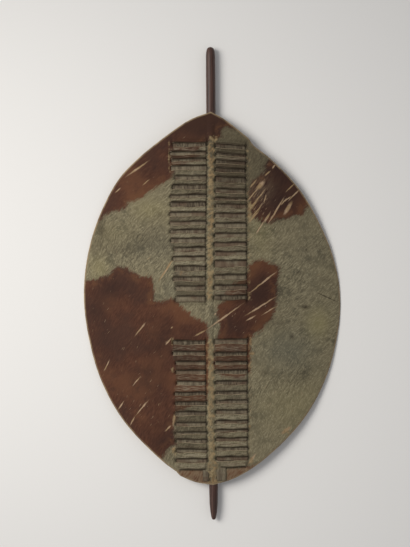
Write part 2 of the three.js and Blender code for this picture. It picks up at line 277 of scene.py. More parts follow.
# %% [markdown]
# ## A sheet that becomes a skin
# Hide is a sheet with a thickness, so the mesh is first drawn as one middle surface of chains of points
# zipped together, which lets a fine row of slits meet coarse plain hide. Then it is thickened: a front, a
# back, and a rounded lip along every open edge. Blender's Solidify modifier could do this too, but it would
# leave square lips.

# %% The skin builder
class Skin:
    """A sheet drawn as points and faces. Each point is (x, y, lift) and then a few marks for the shader."""

    def __init__(self):
        self.points, self.faces, self.known = [], [], {}

    def point(self, x, y, lift=0.0, crown=0.0, slit_shade=0.0, luck=0.0):
        key = (round(x, 2), round(y, 2))
        if key not in self.known:
            self.known[key] = len(self.points)
            self.points.append((x, y, lift, crown, slit_shade, luck))
        return self.known[key]

    def panel(self, left, right):
        """Faces between two chains of point numbers that both run upwards, the second to the right."""
        if len(left) == len(right):
            for a, b, c, d in zip(left, right, right[1:], left[1:]):
                face = list(dict.fromkeys((a, b, c, d)))
                if len(face) > 2:
                    self.faces.append(tuple(face))
            return
        i = j = 0
        while i < len(left) - 1 or j < len(right) - 1:
            left_next = self.points[left[i + 1]][1] if i < len(left) - 1 else math.inf
            right_next = self.points[right[j + 1]][1] if j < len(right) - 1 else math.inf
            if left_next < right_next:
                face = (left[i], right[j], left[i + 1])
                i += 1
            else:
                face = (left[i], right[j], right[j + 1])
                j += 1
            if len(set(face)) == 3:
                self.faces.append(face)

    def panels(self, chains):
        for left, right in zip(chains, chains[1:]):
            self.panel(left, right)

    def thicken(self, thickness, surface, lip=0.38, rim_half=0.36):
        """Vertices in mm, faces, and each vertex's marks: crown, painted slit shade, luck and side (0 front,
        1 back).
        """
        flat = np.array(self.points)
        middle = surface(flat[:, 0], flat[:, 1]) + flat[:, 2]
        count = len(flat)
        seen = {(a, b) for face in self.faces for a, b in zip(face, face[1:] + face[:1])}
        rim = [(a, b) for a, b in seen if (b, a) not in seen]
        rim.sort()
        outward = np.zeros((count, 2))
        for a, b in rim:
            way = flat[b, :2] - flat[a, :2]
            normal = np.array([way[1], -way[0]]) / (np.linalg.norm(way) + 1e-9)
            outward[a] += normal
            outward[b] += normal
        on_rim = np.zeros(count, bool)
        on_rim[[v for edge in rim for v in edge]] = True
        outward /= np.maximum(np.linalg.norm(outward, axis=1), 1)[:, None]
        half = np.where(on_rim, thickness * rim_half, thickness * 0.5)
        front = np.column_stack([flat[:, :2], middle + half])
        back = np.column_stack([flat[:, :2], middle - half])
        rim_number = {v: 2 * count + k for k, v in enumerate(np.flatnonzero(on_rim))}
        lip_points = np.column_stack([flat[:, :2] + outward * thickness * lip, middle])[on_rim]
        skin_faces = list(self.faces)
        skin_faces += [tuple(v + count for v in reversed(face)) for face in self.faces]
        for a, b in rim:
            la, lb = rim_number[a], rim_number[b]
            skin_faces.append((b, a, la, lb))
            skin_faces.append((lb, la, a + count, b + count))
        marks = np.vstack([flat[:, 3:], flat[:, 3:], flat[on_rim, 3:]])
        side = np.concatenate([np.zeros(count), np.ones(count), np.full(int(on_rim.sum()), 0.5)])
        return np.vstack([front, back, lip_points]), skin_faces, np.column_stack([marks, side])


print("a skin is ready to be drawn")

# %% [markdown]
# Points are kept in millimetres until this last step, which makes the object in metres. Numbers that belong
# to a place on the hide, such as how much painted shade it gets in and beside the slits, travel with the
# vertices as attributes, and the shader reads them there.

# %% Objects and the numbers they carry
MARKS = ("crown", "slit_shade", "luck", "side")


def make_object(name, vertices, faces, smooth_angle=60):
    """A mesh object in metres with smooth faces, in the shield's frame."""
    mesh = bpy.data.meshes.new(name)
    mesh.from_pydata((np.asarray(vertices) * MM).tolist(), [], faces)
    mesh.validate()
    mesh.update()
    mesh.shade_smooth()
    mesh.set_sharp_from_angle(angle=math.radians(smooth_angle))
    piece = bpy.data.objects.new(name, mesh)
    scene.collection.objects.link(piece)
    return piece


def add_values(piece, **values):
    """One number, or one vector, for each vertex, for the shader to read."""
    for name, numbers in values.items():
        numbers = np.asarray(numbers, np.float32)
        kind, key = ("FLOAT", "value") if numbers.ndim == 1 else ("FLOAT_VECTOR", "vector")
        layer = piece.data.attributes.new(name, kind, "POINT")
        layer.data.foreach_set(key, numbers.ravel())


def smoothstep(t):
    t = np.clip(t, 0.0, 1.0)
    return t * t * (3 - 2 * t)


def even_steps(low, high, step):
    return np.linspace(low, high, max(1, round(abs(high - low) / step)) + 1)


def hump(distance, reach):
    """1 at no distance, fading smoothly within about the reach."""
    return math.exp(-(distance / reach) ** 2)


print("marks on each vertex:", MARKS)

# %% [markdown]
# ## Laying out the hide
# Between two cuts a bar of hide leaves the plain surface over a short shoulder, stands in front of the
# strip or behind it, and comes back. The hide on both sides of a slit's end is pulled along a little, which
# gives the ridge over the stave its scalloped flanks.

# %% Bars and scallops
PULL = 0.55
PULL_REACH = 4.0
BAR_CROWN = 0.8
BAR_TILT = 1.3
BAR_ROWS = 5
PLAIN_STEP = 4.4
NEAR_STEP = 2.8
UPPER_SLIT = 1.1         # half width of the slit under a bar, which gapes
LOWER_SLIT = 0.35        # half width of the slit that a bar lies against
PULL_END = 9.0           # above and below the lacing the pull fades over this length
PULL_FADE = 12.0
# painted shade in the notches between the bars fades over this length
DARK_REACH = 2.8


def side_profile(column):
    """At each height, how far the hide beside the slits is pulled forward or back, and where they end."""
    cuts = column["cuts"]
    foot, head = cuts[0], cuts[-1]
    rows = [(foot.y - PULL_FADE, 0.0, foot.start, foot.finish)]
    for low, high in zip(cuts, cuts[1:]):
        if high.y - low.y > 2 * EDGE_FADE:
            rows.append((low.y + PULL_END, 0.0, low.start, low.finish))
            rows.append((high.y - PULL_END, 0.0, high.start, high.finish))
        else:
            middle = (low.y + high.y) / 2
            rows.append((middle, float(low.above), max(low.start, high.start), min(low.finish, high.finish)))
    rows.append((head.y + PULL_FADE, 0.0, head.start, head.finish))
    return np.array(rows).T


PROFILES = [side_profile(column) for column in COLUMNS]


def beside_slits(x, y):
    """(pull, painted shade) beside the slits' ends: forward by the bars, back between them, where painted
    shade darkens the notches.
    """
    forward, dark = np.zeros_like(x), np.zeros_like(x)
    for heights, levels, starts, finishes in PROFILES:
        level = np.interp(y, heights, levels)
        away = np.maximum(np.interp(y, heights, starts) - x, x - np.interp(y, heights, finishes))
        away = np.maximum(away, 0)
        forward = forward + level * np.exp(-(away / PULL_REACH) ** 2)
        dark = np.maximum(dark, np.clip(-level, 0, 1) * np.exp(-(away / DARK_REACH) ** 2))
    return forward, dark


print("side profiles have", [len(profile[0]) for profile in PROFILES], "heights")

# %% [markdown]
# The stave pushes the hide out into a low ridge between the columns. A bar is one band between two cuts:
# each cut wanders a little and gapes most near its ends, where the knife went in. Each station across a
# column gets a chain of points for every band, and the chains are zipped together afterwards.

# %% Ridge and bands
RIDGE_FADE = 60.0        # the ridge runs out over this length towards the hide's edge
WANDER_FADE = 8.0        # a slit wanders less this close to its ends
SLIT_TAPER = 2.0         # and closes over this length
SLIT_MOUTH = 3.0         # it gapes most this far in, where the knife went through
CLOSEST = 0.6            # at the edge of the hide, cuts stay this far apart
hide_skin = Skin()


def ridge_at(y):
    """Middle and half width of the strip of hide between the columns."""
    left = np.interp(y, PROFILES[0][0], PROFILES[0][3])
    right = np.interp(y, PROFILES[1][0], PROFILES[1][2])
    return (left + right) / 2, (right - left) / 2


def plain_point(x, y, share=1.0):
    """A point of the unlaced hide: the ridge over the stave, and the pull of the slits near it."""
    middle, half = ridge_at(y)
    across = max(0.0, 1 - ((x - middle) / (half + 1)) ** 2)
    to_head, to_foot = edge_y(x, True) - y, y - edge_y(x, False)
    ends = float(smoothstep(to_head / RIDGE_FADE) * smoothstep(to_foot / RIDGE_FADE))
    forward, dark = beside_slits(np.float64(x), y)
    return (RIDGE_RISE * across * ends + PULL * BAR_FRONT * float(forward)) * share, float(dark) * share


def slit_edge(column, k, x):
    """Height of a cut at x, how far inside the slit x is, and half of its gap there."""
    cut, wander = column["cuts"][k], column["wander"][k]
    inside = min(x - cut.start, cut.finish - x)
    y = cut.y + cut.slant * (x - (cut.start + cut.finish) / 2)
    y += wander(x) * min(1.0, max(0.0, inside / WANDER_FADE))
    lowest = edge_y(x, False) + CLOSEST * (k + 1)
    highest = edge_y(x, True) - CLOSEST * (len(column["cuts"]) - k)
    y = min(max(y, lowest), highest)
    gape = UPPER_SLIT if cut.below < 0 else LOWER_SLIT
    uneven = min(1.5, max(0.5, 1 + 0.35 * wander(1.9 * x + 31)))
    half = gape * min(1.0, max(0.0, inside / SLIT_TAPER)) * (uneven + 0.5 * hump(inside - SLIT_MOUTH, 3))
    return y, inside, half


print("ridge's middle and half width at the grip:", [round(float(v), 1) for v in ridge_at(-50)])

# %% [markdown]
# A band is either narrow, a bar in front of the strip or behind it, or wide, which is plain hide that only
# bends next to its cuts. A bar in front is crowned, leans a little and gets painted shade along its foot,
# over the slit that gapes under it.

# %% One band of hide
def bar_at(t, from_low, to_high, rise, level, luck):
    """(lift, crown, painted shade) of a bar at a share t of its height: in front of the strip, or behind it.
    """
    if level < 0:
        # a bar behind the strip gets painted shade all over
        return -BAR_BACK * rise, 0.0, 0.6 * rise
    arch = math.sin(math.pi * (0.06 + 0.88 * t))
    lift = (BAR_FRONT + BAR_CROWN * (arch - 0.5) + BAR_TILT * (0.5 - t) + 0.5 * luck) * rise
    # painted shadow along the bar's lower edge, and a little painted shade along its upper one
    return lift, arch * rise, (0.9 * hump(from_low, 1.2) + 0.15 * hump(to_high, 0.9)) * rise


def band_chain(column, band, x, luck):
    """Points of one band of a column at one x, from its lower cut to its upper one."""
    cuts = column["cuts"]
    low_cut = cuts[band - 1] if band > 0 else None
    high_cut = cuts[band] if band < len(cuts) else None
    low_inside = high_inside = -1.0
    low, high = edge_y(x, False), edge_y(x, True)
    if low_cut:
        low, low_inside, half = slit_edge(column, band - 1, x)
        low += half
    if high_cut:
        high, high_inside, half = slit_edge(column, band, x)
        high -= half
    low_rise = float(smoothstep(low_inside / BAR_SHOULDER))
    high_rise = float(smoothstep(high_inside / BAR_SHOULDER))
    narrow = low_cut and high_cut and high - low < 2 * EDGE_FADE
    heights = np.linspace(low, high, BAR_ROWS + 1) if narrow else even_steps(low, high, NEAR_STEP)
    chain = []
    for y in heights:
        crown = 0.0
        if narrow:
            t = (y - low) / (high - low)
            rise = low_rise + (high_rise - low_rise) * t
            lift, crown, slit_shade = bar_at(t, y - low, high - y, rise, low_cut.above, luck)
            # painted shade at the slits' ends, deeper beside a bar behind the strip
            slit_end = hump(min(low_inside, high_inside) - 2.2, 2.0)
            slit_shade = max(slit_shade, 0.8 * slit_end * (1.0 if low_cut.above < 0 else 0.45))
        else:
            near_low = hump(y - low, EDGE_FADE * 0.4) * low_rise
            near_high = hump(high - y, EDGE_FADE * 0.4) * high_rise
            rise = max(near_low, near_high)
            lift = 0.0
            levels = (low_cut and low_cut.above, high_cut and high_cut.below)
            for near, level in zip((near_low, near_high), levels):
                if level:
                    lift += near * (BAR_FRONT if level > 0 else -BAR_BACK)
            # painted shade along the cuts of plain hide
            slit_shade = 0.8 * max(hump(y - low, 1.4) * low_rise, hump(high - y, 1.4) * high_rise)
        base, dark = plain_point(x, y, 1 - rise)
        chain.append(hide_skin.point(x, y, lift + base, crown, max(slit_shade, dark), luck * rise))
    return chain


print("a bar stands", BAR_FRONT, "mm in front of the hide or", BAR_BACK, "mm behind it")

# %% [markdown]
# Each cut gets a wander of its own and each band some luck, which the shader uses to make one bar darker
# than the next. The stations are close together near the ends of the slits, where the bars bend most.

# %% Drawing the columns
def edge_wander():
    """A slit that wanders a little, as a hand-cut one does."""
    a, b = rng.uniform(0.3, 1.0, 2)
    p, q = rng.uniform(0, math.tau, 2)
    return lambda x: a * math.sin(x / 10 + p) + b * math.sin(x / 26 + q)


FINE_STEP = 1.35                     # between stations near the ends of the slits
FINE_LEFT, FINE_RIGHT = 19.0, 16.0   # length of the finely drawn ends of a column
column_sides = []
for column in COLUMNS:
    low_x, high_x = column["span"]
    low_inner, high_inner = low_x + FINE_LEFT, high_x - FINE_RIGHT
    stations = [*even_steps(low_x, low_inner, FINE_STEP), *even_steps(low_inner, high_inner, PLAIN_STEP)[1:],
                *even_steps(high_inner, high_x, FINE_STEP)[1:]]
    column["wander"] = [edge_wander() for _ in column["cuts"]]
    left_side, right_side = [], []
    for band in range(len(column["cuts"]) + 1):
        luck = rng.uniform(-1, 1)
        chains = [band_chain(column, band, float(x), luck) for x in stations]
        hide_skin.panels(chains)
        left_side += chains[0][1 if band else 0:]
        right_side += chains[-1][1 if band else 0:]
    column_sides.append((left_side, right_side))
print("points after the columns:", len(hide_skin.points))

# %% [markdown]
# The plain hide left and right of the columns is a run of upright chains, and so is the ridge between them.
# Towards the widest part of the oval the edge itself runs upright, so the last chain there is the edge.

# %% Plain hide
SIDE_X = 280.0
NEAR_STATIONS = (1.3, 2.8, 4.8, 7.5)
EDGE_STATIONS = (286.0, 290.0, 293.0)
RIDGE_STEP_X, RIDGE_STEP_Y = 1.6, 2.0
LACING_HALF = 50.0       # the small dents stay this far from the middle of a column
DENT_FADE = 20.0


def plain_chain(x, step=PLAIN_STEP):
    chain = []
    for y in even_steps(edge_y(x, False), edge_y(x, True), step):
        lift, dark = plain_point(x, y)
        chain.append(hide_skin.point(x, y, lift, 0.0, dark))
    return chain


def side_arc(x, left):
    """The last chain, which is the edge itself where that runs upright."""
    low, high = edge_y(x, False), edge_y(x, True)
    heights = even_steps(low, high, PLAIN_STEP)[1:-1]
    places = [(x, low), *[(edge_x(y, left), y) for y in heights], (x, high)]
    return [hide_skin.point(*place) for place in places]


def outer_run(start, way, side_chain):
    """Panels from a column's side out to the edge; way is -1 to the left and 1 to the right."""
    chains = [side_chain] + [plain_chain(start + way * away, NEAR_STEP) for away in NEAR_STATIONS]
    far = even_steps(start + way * (NEAR_STATIONS[-1] + PLAIN_STEP), way * SIDE_X, PLAIN_STEP)
    chains += [plain_chain(float(x)) for x in far] + [plain_chain(way * x) for x in EDGE_STATIONS]
    chains.append(side_arc(way * EDGE_STATIONS[-1], way < 0))
    hide_skin.panels(chains[::way])


outer_run(COLUMNS[0]["span"][0], -1, column_sides[0][0])
outer_run(COLUMNS[1]["span"][1], 1, column_sides[1][1])
ridge_stations = even_steps(COLUMNS[0]["span"][1], COLUMNS[1]["span"][0], RIDGE_STEP_X)[1:-1]
ridge_chains = [plain_chain(float(x), RIDGE_STEP_Y) for x in ridge_stations]
ridge_chains = [column_sides[0][1], *ridge_chains, column_sides[1][0]]
hide_skin.panels(ridge_chains)


def hide_surface(x, y):
    """The middle surface with its small dents, which stay clear of the lacing."""
    away = np.minimum(np.abs(x - sum(LEFT_COLUMN) / 2), np.abs(x - sum(RIGHT_COLUMN) / 2)) - LACING_HALF
    return hide_z(x, y) + dents(x, y) * np.clip(away / DENT_FADE, 0, 1)


vertices, faces, hide_marks = hide_skin.thicken(HIDE_THICKNESS, hide_surface)
hide = make_object("cowhide", vertices + [0, HIDE_MIDDLE_Y, 0], faces)
add_values(hide, **dict(zip(MARKS, hide_marks.T)))
print("hide:", len(vertices), "vertices,", sum(len(face) - 2 for face in faces), "triangles")

# %% [markdown]
# ## Where the coat changes colour
# The cow was brown and grey in large patches. Their borders are drawn here as a few points each, in
# millimetres from the hide's middle, and every vertex stores how far inside a patch it is. The shader adds
# the hairy edge.

# %% Coat patches
PATCHES = {
    "top": [
        (57, 387), (35, 394), (25, 385), (25, 371), (7, 364), (-9, 359), (-30, 341), (-26, 327), (-53, 311),
        (-81, 300), (-90, 277), (-100, 270), (-123, 258), (-162, 231), (-194, 221), (-201, 208),
        (-224, 203), (-248, 191), (-266, 175), (-320, 175), (-280, 340), (-117, 456), (10, 467), (67, 415)],
    "upper right": [
        (140, 330), (124, 304), (121, 288), (105, 279), (89, 263), (84, 244), (84, 203), (95, 182),
        (118, 175), (134, 171), (150, 181), (173, 182), (189, 188), (210, 190), (215, 205), (231, 219),
        (261, 249), (181, 341)],
    "lower left": [
        (-295, 42), (-262, 47), (-248, 53), (-232, 60), (-221, 74), (-200, 72), (-177, 58), (-163, 51),
        (-138, 53), (-134, 35), (-134, -6), (-116, -6), (-95, 1), (-79, -11), (-58, -29), (-38, -45),
        (-15, -55), (-11, -66), (-9, -108), (-9, -200), (-14, -234), (-39, -243), (-76, -257), (-90, -292),
        (-86, -335), (-104, -349), (-120, -370), (-169, -420), (-290, -292), (-340, -73), (-335, 30)],
    "middle": [
        (85, 76), (99, 83), (117, 90), (136, 79), (156, 72), (152, 44), (147, 19), (147, -11), (144, -27),
        (135, -48), (123, -59), (112, -71), (98, -82), (86, -96), (86, -170), (63, -183), (21, -179),
        (3, -156), (4, -108), (12, -84), (17, -66), (13, -45), (12, -16), (27, -4), (32, 24), (64, 42),
        (83, 60)],
    "foot left": [
        (-82, -397), (-54, -394), (-19, -395), (-11, -445), (-82, -445)],
    "foot right": [
        (29, -395), (61, -390), (84, -386), (112, -381), (61, -440), (33, -440), (26, -423)],
}


def inside_distance(x, y, outline):
    """Signed distance in mm to a closed outline, positive inside."""
    ring = np.array(outline, float)
    nearest = np.full(len(x), 1e9)
    inside = np.zeros(len(x), bool)
    for (ax, ay), (bx, by) in zip(ring, np.roll(ring, -1, axis=0)):
        ex, ey = bx - ax, by - ay
        if ex == ey == 0:
            continue
        t = np.clip(((x - ax) * ex + (y - ay) * ey) / (ex * ex + ey * ey), 0, 1)
        nearest = np.minimum(nearest, np.hypot(x - ax - t * ex, y - ay - t * ey))
        crosses = (ay > y) != (by > y)
        if ey != 0:
            inside ^= crosses & (x < ax + (y - ay) / ey * ex)
    return np.where(inside, nearest, -nearest)


hx, hy = vertices[:, 0], vertices[:, 1]
patch_depth = np.max([inside_distance(hx, hy, outline) for outline in PATCHES.values()], axis=0)
rim_depth = inside_distance(hx, hy, hide_ring)
add_values(hide, patch=patch_depth, rim=rim_depth)
print("share of brown:", round(float((patch_depth > 0).mean()), 2))

# %% [markdown]
# Other slow changes over the hide are stored the same way: how worn the hair is on the ridge and at the ends
# of the slits, how dark the coat is in patches, with painted shade over the upper right column, where the
# coat was scraped, and which way the hair lies.

# %% Wear, darkness, scrapes and lie of the hair
def blob(cx, cy, rx, ry):
    """A soft round spot on the hide, 1 in its middle."""
    return np.exp(-(((hx - cx) / rx) ** 2 + ((hy - cy) / ry) ** 2))


def spread(spots):
    """A sum of soft spots, each with its weight as the last number."""
    return sum(weight * blob(*place) for *place, weight in spots)


LACING_TOP = 362.0
BAND_LOW, BAND_HIGH = -96.0, -2.0     # the plain band at the grip
forward, _ = beside_slits(hx, hy)
in_band = smoothstep((hy - BAND_LOW) / 8) * smoothstep((BAND_HIGH - hy) / 8)
laced = smoothstep((LACING_TOP - hy) / 10) * (1 - in_band)
ridge_middle, ridge_half = ridge_at(hy)
on_ridge = np.clip(1.3 - (np.abs(hx - ridge_middle) / ridge_half) ** 2, 0, 1)
ridge_wear = on_ridge * (0.62 + 0.5 * np.clip(forward / 1.5, -1, 1)) * laced
right_ends = np.exp(-((hx - RIGHT_COLUMN[1] - 5) / 6) ** 2) * np.clip(0.3 + forward, 0.25, 1) * laced
left_ends = np.exp(-((hx - LEFT_COLUMN[0] + 4) / 4.5) ** 2) * np.clip(0.1 + forward, 0, 1) * laced
left_ends *= 0.25 + 0.5 * smoothstep((hy - 230) / 60) + 0.5 * smoothstep((-110 - hy) / 30)
# painted shade in the folds beside the ridge at the foot
foot_crease_shade = np.maximum(blob(-8.5, -412, 1.8, 26), blob(7.5, -412, 1.8, 26))
foot_ridge = blob(-1, -412, 6, 26)
WORN_SPOTS = [
    (-97, 325, 2.4, 44), (86, 186, 7, 16), (88, 212, 9, 14), (84, 6, 5, 14), (87, -100, 5, 14),
    (88, -128, 7, 11), (85, -160, 5, 13), (-92, -98, 4, 8), (-91, -164, 5, 8), (-89, -278, 5, 12),
    (-90, -352, 7, 11), (88, -372, 6, 10), (6, 366, 14, 8), (171, -309, 11, 8), (-70, 62, 5, 14),
]
spots = np.max([blob(*spot) for spot in WORN_SPOTS], axis=0)
worn = np.clip(np.maximum.reduce([ridge_wear, right_ends, left_ends, 0.8 * spots, foot_ridge]), 0, 1)

# dark holds the coat's darker patches, and its spot at (45, 300) is painted shade over the upper right
# column
dark = spread([
    (0, 400, 130, 50, 1.2), (165, 250, 60, 60, 1.3), (-235, 22, 38, 26, 0.9), (-262, -30, 26, 34, 0.7),
    (105, 10, 45, 50, 1.0), (60, -70, 40, 30, 0.5), (-110, -100, 40, 45, 0.6), (-150, -190, 50, 40, 0.5),
    (-250, -120, 30, 50, 0.5), (-110, -330, 40, 50, 0.5), (104, 300, 30, 60, 1.0), (128, 306, 30, 24, 0.8),
    (45, 300, 50, 80, 1.0), (40, 395, 40, 30, 0.5), (-40, 120, 300, 12, 0.3), (-260, 150, 30, 40, 0.4),
    (-190, 150, 110, 70, 0.2), (-150, 290, 60, 50, 0.3)])
DIRTY_SPOTS = [
    (214, -22, 8, 4, 0.9), (218, 109, 4, 3, 0.6), (198, 56, 4, 5, 0.5), (183, -91, 5, 4, 0.7),
    (121, -172, 5, 4, 0.5), (-255, 165, 6, 22, 0.4), (-150, 140, 40, 14, 0.25), (-205, 110, 30, 10, 0.2),
    (150, -60, 30, 12, 0.25), (200, -180, 30, 16, 0.2), (-120, 190, 12, 6, 0.3), (260, 40, 14, 8, 0.25),
]
# real stain spots, plus the painted shade in the folds at the foot
stains_and_crease_shade = spread(DIRTY_SPOTS) + 0.9 * foot_crease_shade
scrape = spread([
    (-150, -260, 70, 60, 0.35), (-200, -120, 90, 110, 0.2), (108, 215, 35, 50, 1.0), (90, -40, 60, 50, 0.3),
    (180, -250, 110, 120, 0.3), (-190, 150, 80, 80, 0.2)])
foot_ochre = smoothstep((-386 - hy) / 8) * smoothstep((110 - np.abs(hx)) / 20)
ochre = np.maximum(foot_ochre, 0.5 * blob(112, 250, 30, 30))
cool = spread([
    (175, -120, 60, 45, 1.0), (230, 60, 60, 120, 0.2), (-85, 25, 30, 30, 0.6), (-130, 120, 60, 30, 0.5)])
golden = spread([
    (245, -60, 28, 34, 0.9), (-262, 70, 24, 30, 0.7), (-140, 205, 40, 24, 0.6), (-230, 150, 60, 30, 0.3),
    (200, -250, 90, 60, 0.4), (110, 150, 30, 60, 0.5)])

worn_share, dark_share = (round(float((share > 0.5).mean()), 3) for share in (worn, dark))
print("worn share:", worn_share, "darkened share:", dark_share)

# %% [markdown]
# Hair doesn't lie the same way all over an animal. Here it lies at about 50 degrees and turns slowly along
# the hide. Two distances are stored, along the lie and across it, and the shader stretches its noise along
# the first.

# %% The lie of the hair
LIE_DEGREES = 50
LIE = math.radians(LIE_DEGREES)
along_lie = hx * math.cos(LIE) + hy * math.sin(LIE)
across_lie = hy * math.cos(LIE) - hx * math.sin(LIE)
steps = np.linspace(-500, 500, 201)
turn = np.interp(steps, [-300, -50, 120, 250, 400], [10, 10, -13, 4, 4])
drift = np.cumsum(np.tan(np.radians(turn))) * (steps[1] - steps[0])
across_lie = across_lie - np.interp(along_lie, steps, drift)
flow = np.column_stack([along_lie, across_lie, 0 * hx]) * MM
shares = dict(dark=dark, stains_and_crease_shade=stains_and_crease_shade, scrape=scrape, cool=cool, golden=golden)
shares = {name: np.clip(share, 0, 1) for name, share in shares.items()}
add_values(hide, worn=worn, **shares, ochre=ochre, flow=flow)
print("hair flows at", round(LIE_DEGREES + turn.min()), "to", round(LIE_DEGREES + turn.max()), "degrees")

# %% [markdown]
# ## Shader maths as Python
# A material is a graph of nodes, but it reads best as an expression. This small wrapper lets a socket be
# added to, multiplied or compared as a number is, and each operator makes the Math node that it stands for.

# %% A socket that does arithmetic
class Value:
    """One output of a node, which can be added, multiplied and so on like a number."""

    def __init__(self, paint, socket):
        self.paint, self.socket = paint, socket

    def _math(self, operation, *others, swap=False):
        inputs = [self, *others]
        return self.paint.node("ShaderNodeMath", dict(operation=operation), inputs[::-1] if swap else inputs)

    def __add__(self, other): return self._math("ADD", other)
    def __radd__(self, other): return self._math("ADD", other)
    def __sub__(self, other): return self._math("SUBTRACT", other)
    def __rsub__(self, other): return self._math("SUBTRACT", other, swap=True)
    def __mul__(self, other): return self._math("MULTIPLY", other)
    def __rmul__(self, other): return self._math("MULTIPLY", other)

    def least(self, other):
        return self._math("MINIMUM", other)

    def most(self, other):
        return self._math("MAXIMUM", other)

    def glazed(self, share, colour):
        """This colour with another one laid over it by a share."""
        return self.paint.mix(share, self, colour)

    def between(self, low, high):
        """0 below low, 1 above high, and smooth from one to the other."""
        return self.paint.node("ShaderNodeMapRange", dict(interpolation_type="SMOOTHSTEP", clamp=True),
                               {"Value": self, "From Min": low, "From Max": high})


class Paint:
    """One material, and short ways to make its nodes."""

    def __init__(self, name):
        self.material = bpy.data.materials.new(name)
        self.material.use_nodes = True
        self.tree = self.material.node_tree
        self.shader = self.tree.nodes["Principled BSDF"]
        self.place = self.node("ShaderNodeTexCoord", {}, {}, "Object")

    def node(self, kind, settings, values, output=0):
        """Make a node, set it up, feed its sockets by number or by name, and wrap one output."""
        made = self.tree.nodes.new(kind)
        for key, setting in settings.items():
            setattr(made, key, setting)
        for key, value in (values.items() if isinstance(values, dict) else enumerate(values)):
            self.feed(made.inputs[key], value)
        return Value(self, made.outputs[output])

    def feed(self, socket, value):
        if isinstance(value, Value):
            self.tree.links.new(value.socket, socket)
        else:
            socket.default_value = value

    def set(self, **sockets):
        """Feed the shader's own sockets: base_color=... is its Base Color."""
        for name, value in sockets.items():
            self.feed(self.shader.inputs[name.replace("_", " ").title().replace("Ior", "IOR")], value)

    def stored(self, name, output="Fac"):
        settings = dict(attribute_type="GEOMETRY", attribute_name=name)
        return self.node("ShaderNodeAttribute", settings, {}, output)

    def grains(self, along, across, shift=0.0, where=None, turn=0.0):
        """A place, or another vector, measured in grains of along by across mm, turned by an angle."""
        return self.node("ShaderNodeMapping", dict(vector_type="TEXTURE"), {
            "Vector": where or self.place, "Location": (shift, shift, 0),
            "Rotation": (0, 0, math.radians(turn)), "Scale": (along * MM, across * MM, along * MM)})

    def noise(self, where, detail=3.0, rough=0.55):
        values = {"Vector": where, "Scale": 1.0, "Detail": detail, "Roughness": rough}
        return self.node("ShaderNodeTexNoise", {}, values)

    def mix(self, share, a, b):
        """Colour a where share is 0, b where it is 1; a plain colour is three numbers for tone()."""
        a, b = (tone(*colour) if isinstance(colour, tuple) else colour for colour in (a, b))
        return self.node("ShaderNodeMix", dict(data_type="RGBA"), {0: share, 6: a, 7: b}, 2)

    def bump(self, height, strength, distance):
        values = {"Strength": strength, "Distance": distance, "Height": height}
        return self.node("ShaderNodeBump", {}, values)

    def vector(self, operation, values, output=0):
        return self.node("ShaderNodeVectorMath", dict(operation=operation), values, output)


def tone(red, green, blue):
    """A colour as a paint card gives it, 0 to 255, turned into the shader's linear light."""
    def linear(c):
        c /= 255
        return c / 12.92 if c <= 0.04045 else ((c + 0.055) / 1.055) ** 2.4
    return (linear(red), linear(green), linear(blue), 1.0)

# %% [markdown]
# ## The coat
# Short cattle hair shows as fine streaks that all lie one way in a region. A noise stretched along the lie
# of the hair gives them. The noise reads the two distances stored with the lie, so it turns with the coat,
# and a slow swirl moves them about a little, so that no two tufts lie quite the same way. Particle hair
# would be truer from a hand's breadth away, but it would be lost outside Blender.

# %% Scrape marks
# Where the hair is scraped off: middle x, middle y, direction in degrees, length, width and how bare
SCRAPES = [
    (-170, 300, 34, 59, 3.4, 0.7), (-217, 250, 41, 18, 2.3, 0.6), (-105, 66, 56, 56, 3.6, 0.9),
    (-166, -70, 51, 38, 3.2, 0.45), (-245, -154, 63, 30, 2.4, 0.4), (-176, -190, 50, 30, 2.6, 0.25),
    (-212, -246, 54, 24, 2.6, 0.55), (-186, -282, 61, 26, 2.6, 0.3), (-164, -252, 50, 48, 2.4, 0.45),
    (-104, -298, 43, 19, 3.0, 0.7), (-90, -278, 82, 30, 4.4, 0.8), (-92, -346, 54, 9, 4.4, 0.7),
    (-100, -97, 49, 21, 3.0, 0.9), (-93, -66, 45, 6, 2.3, 0.6), (28, -42, 35, 90, 3.0, 0.8),
    (-28, -79, 26, 28, 3.0, 0.75), (6, -36, 51, 6, 2.3, 0.7), (114, 34, 38, 85, 2.8, 0.8),
    (110, -19, 31, 78, 2.8, 0.85), (129, -30, 30, 34, 2.3, 0.7), (88, -46, 28, 24, 2.8, 0.8),
    (176, 206, 58, 34, 7.0, 0.85), (190, 236, 46, 34, 2.6, 0.8), (148, 200, 58, 66, 3.0, 0.85),
    (112, 258, 46, 26, 8.0, 0.8), (96, 262, 50, 24, 3.0, 0.8), (129, 286, 40, 18, 2.6, 0.7),
    (144, 302, 52, 12, 3.2, 0.6), (182, 254, 44, 30, 2.3, 0.75), (110, 232, 52, 46, 2.6, 0.85),
    (94, 212, 50, 40, 4.4, 0.8), (123, 228, 74, 18, 2.6, 0.7), (96, 186, 48, 34, 4.0, 0.8),
    (127, 184, 56, 26, 3.8, 0.8), (111, 162, 56, 34, 2.3, 0.7), (166, 221, 48, 20, 2.8, 0.75),
    (174, 226, 34, 25, 2.5, 0.7), (100, 244, 46, 40, 2.2, 0.8), (104, 200, 50, 44, 2.2, 0.8),
    (90, 232, 48, 26, 2.4, 0.8), (168, -306, 36, 26, 6.0, 0.8), (88, -372, 52, 30, 4.0, 0.7),
    (-150, 268, 38, 22, 2.2, 0.4),
]

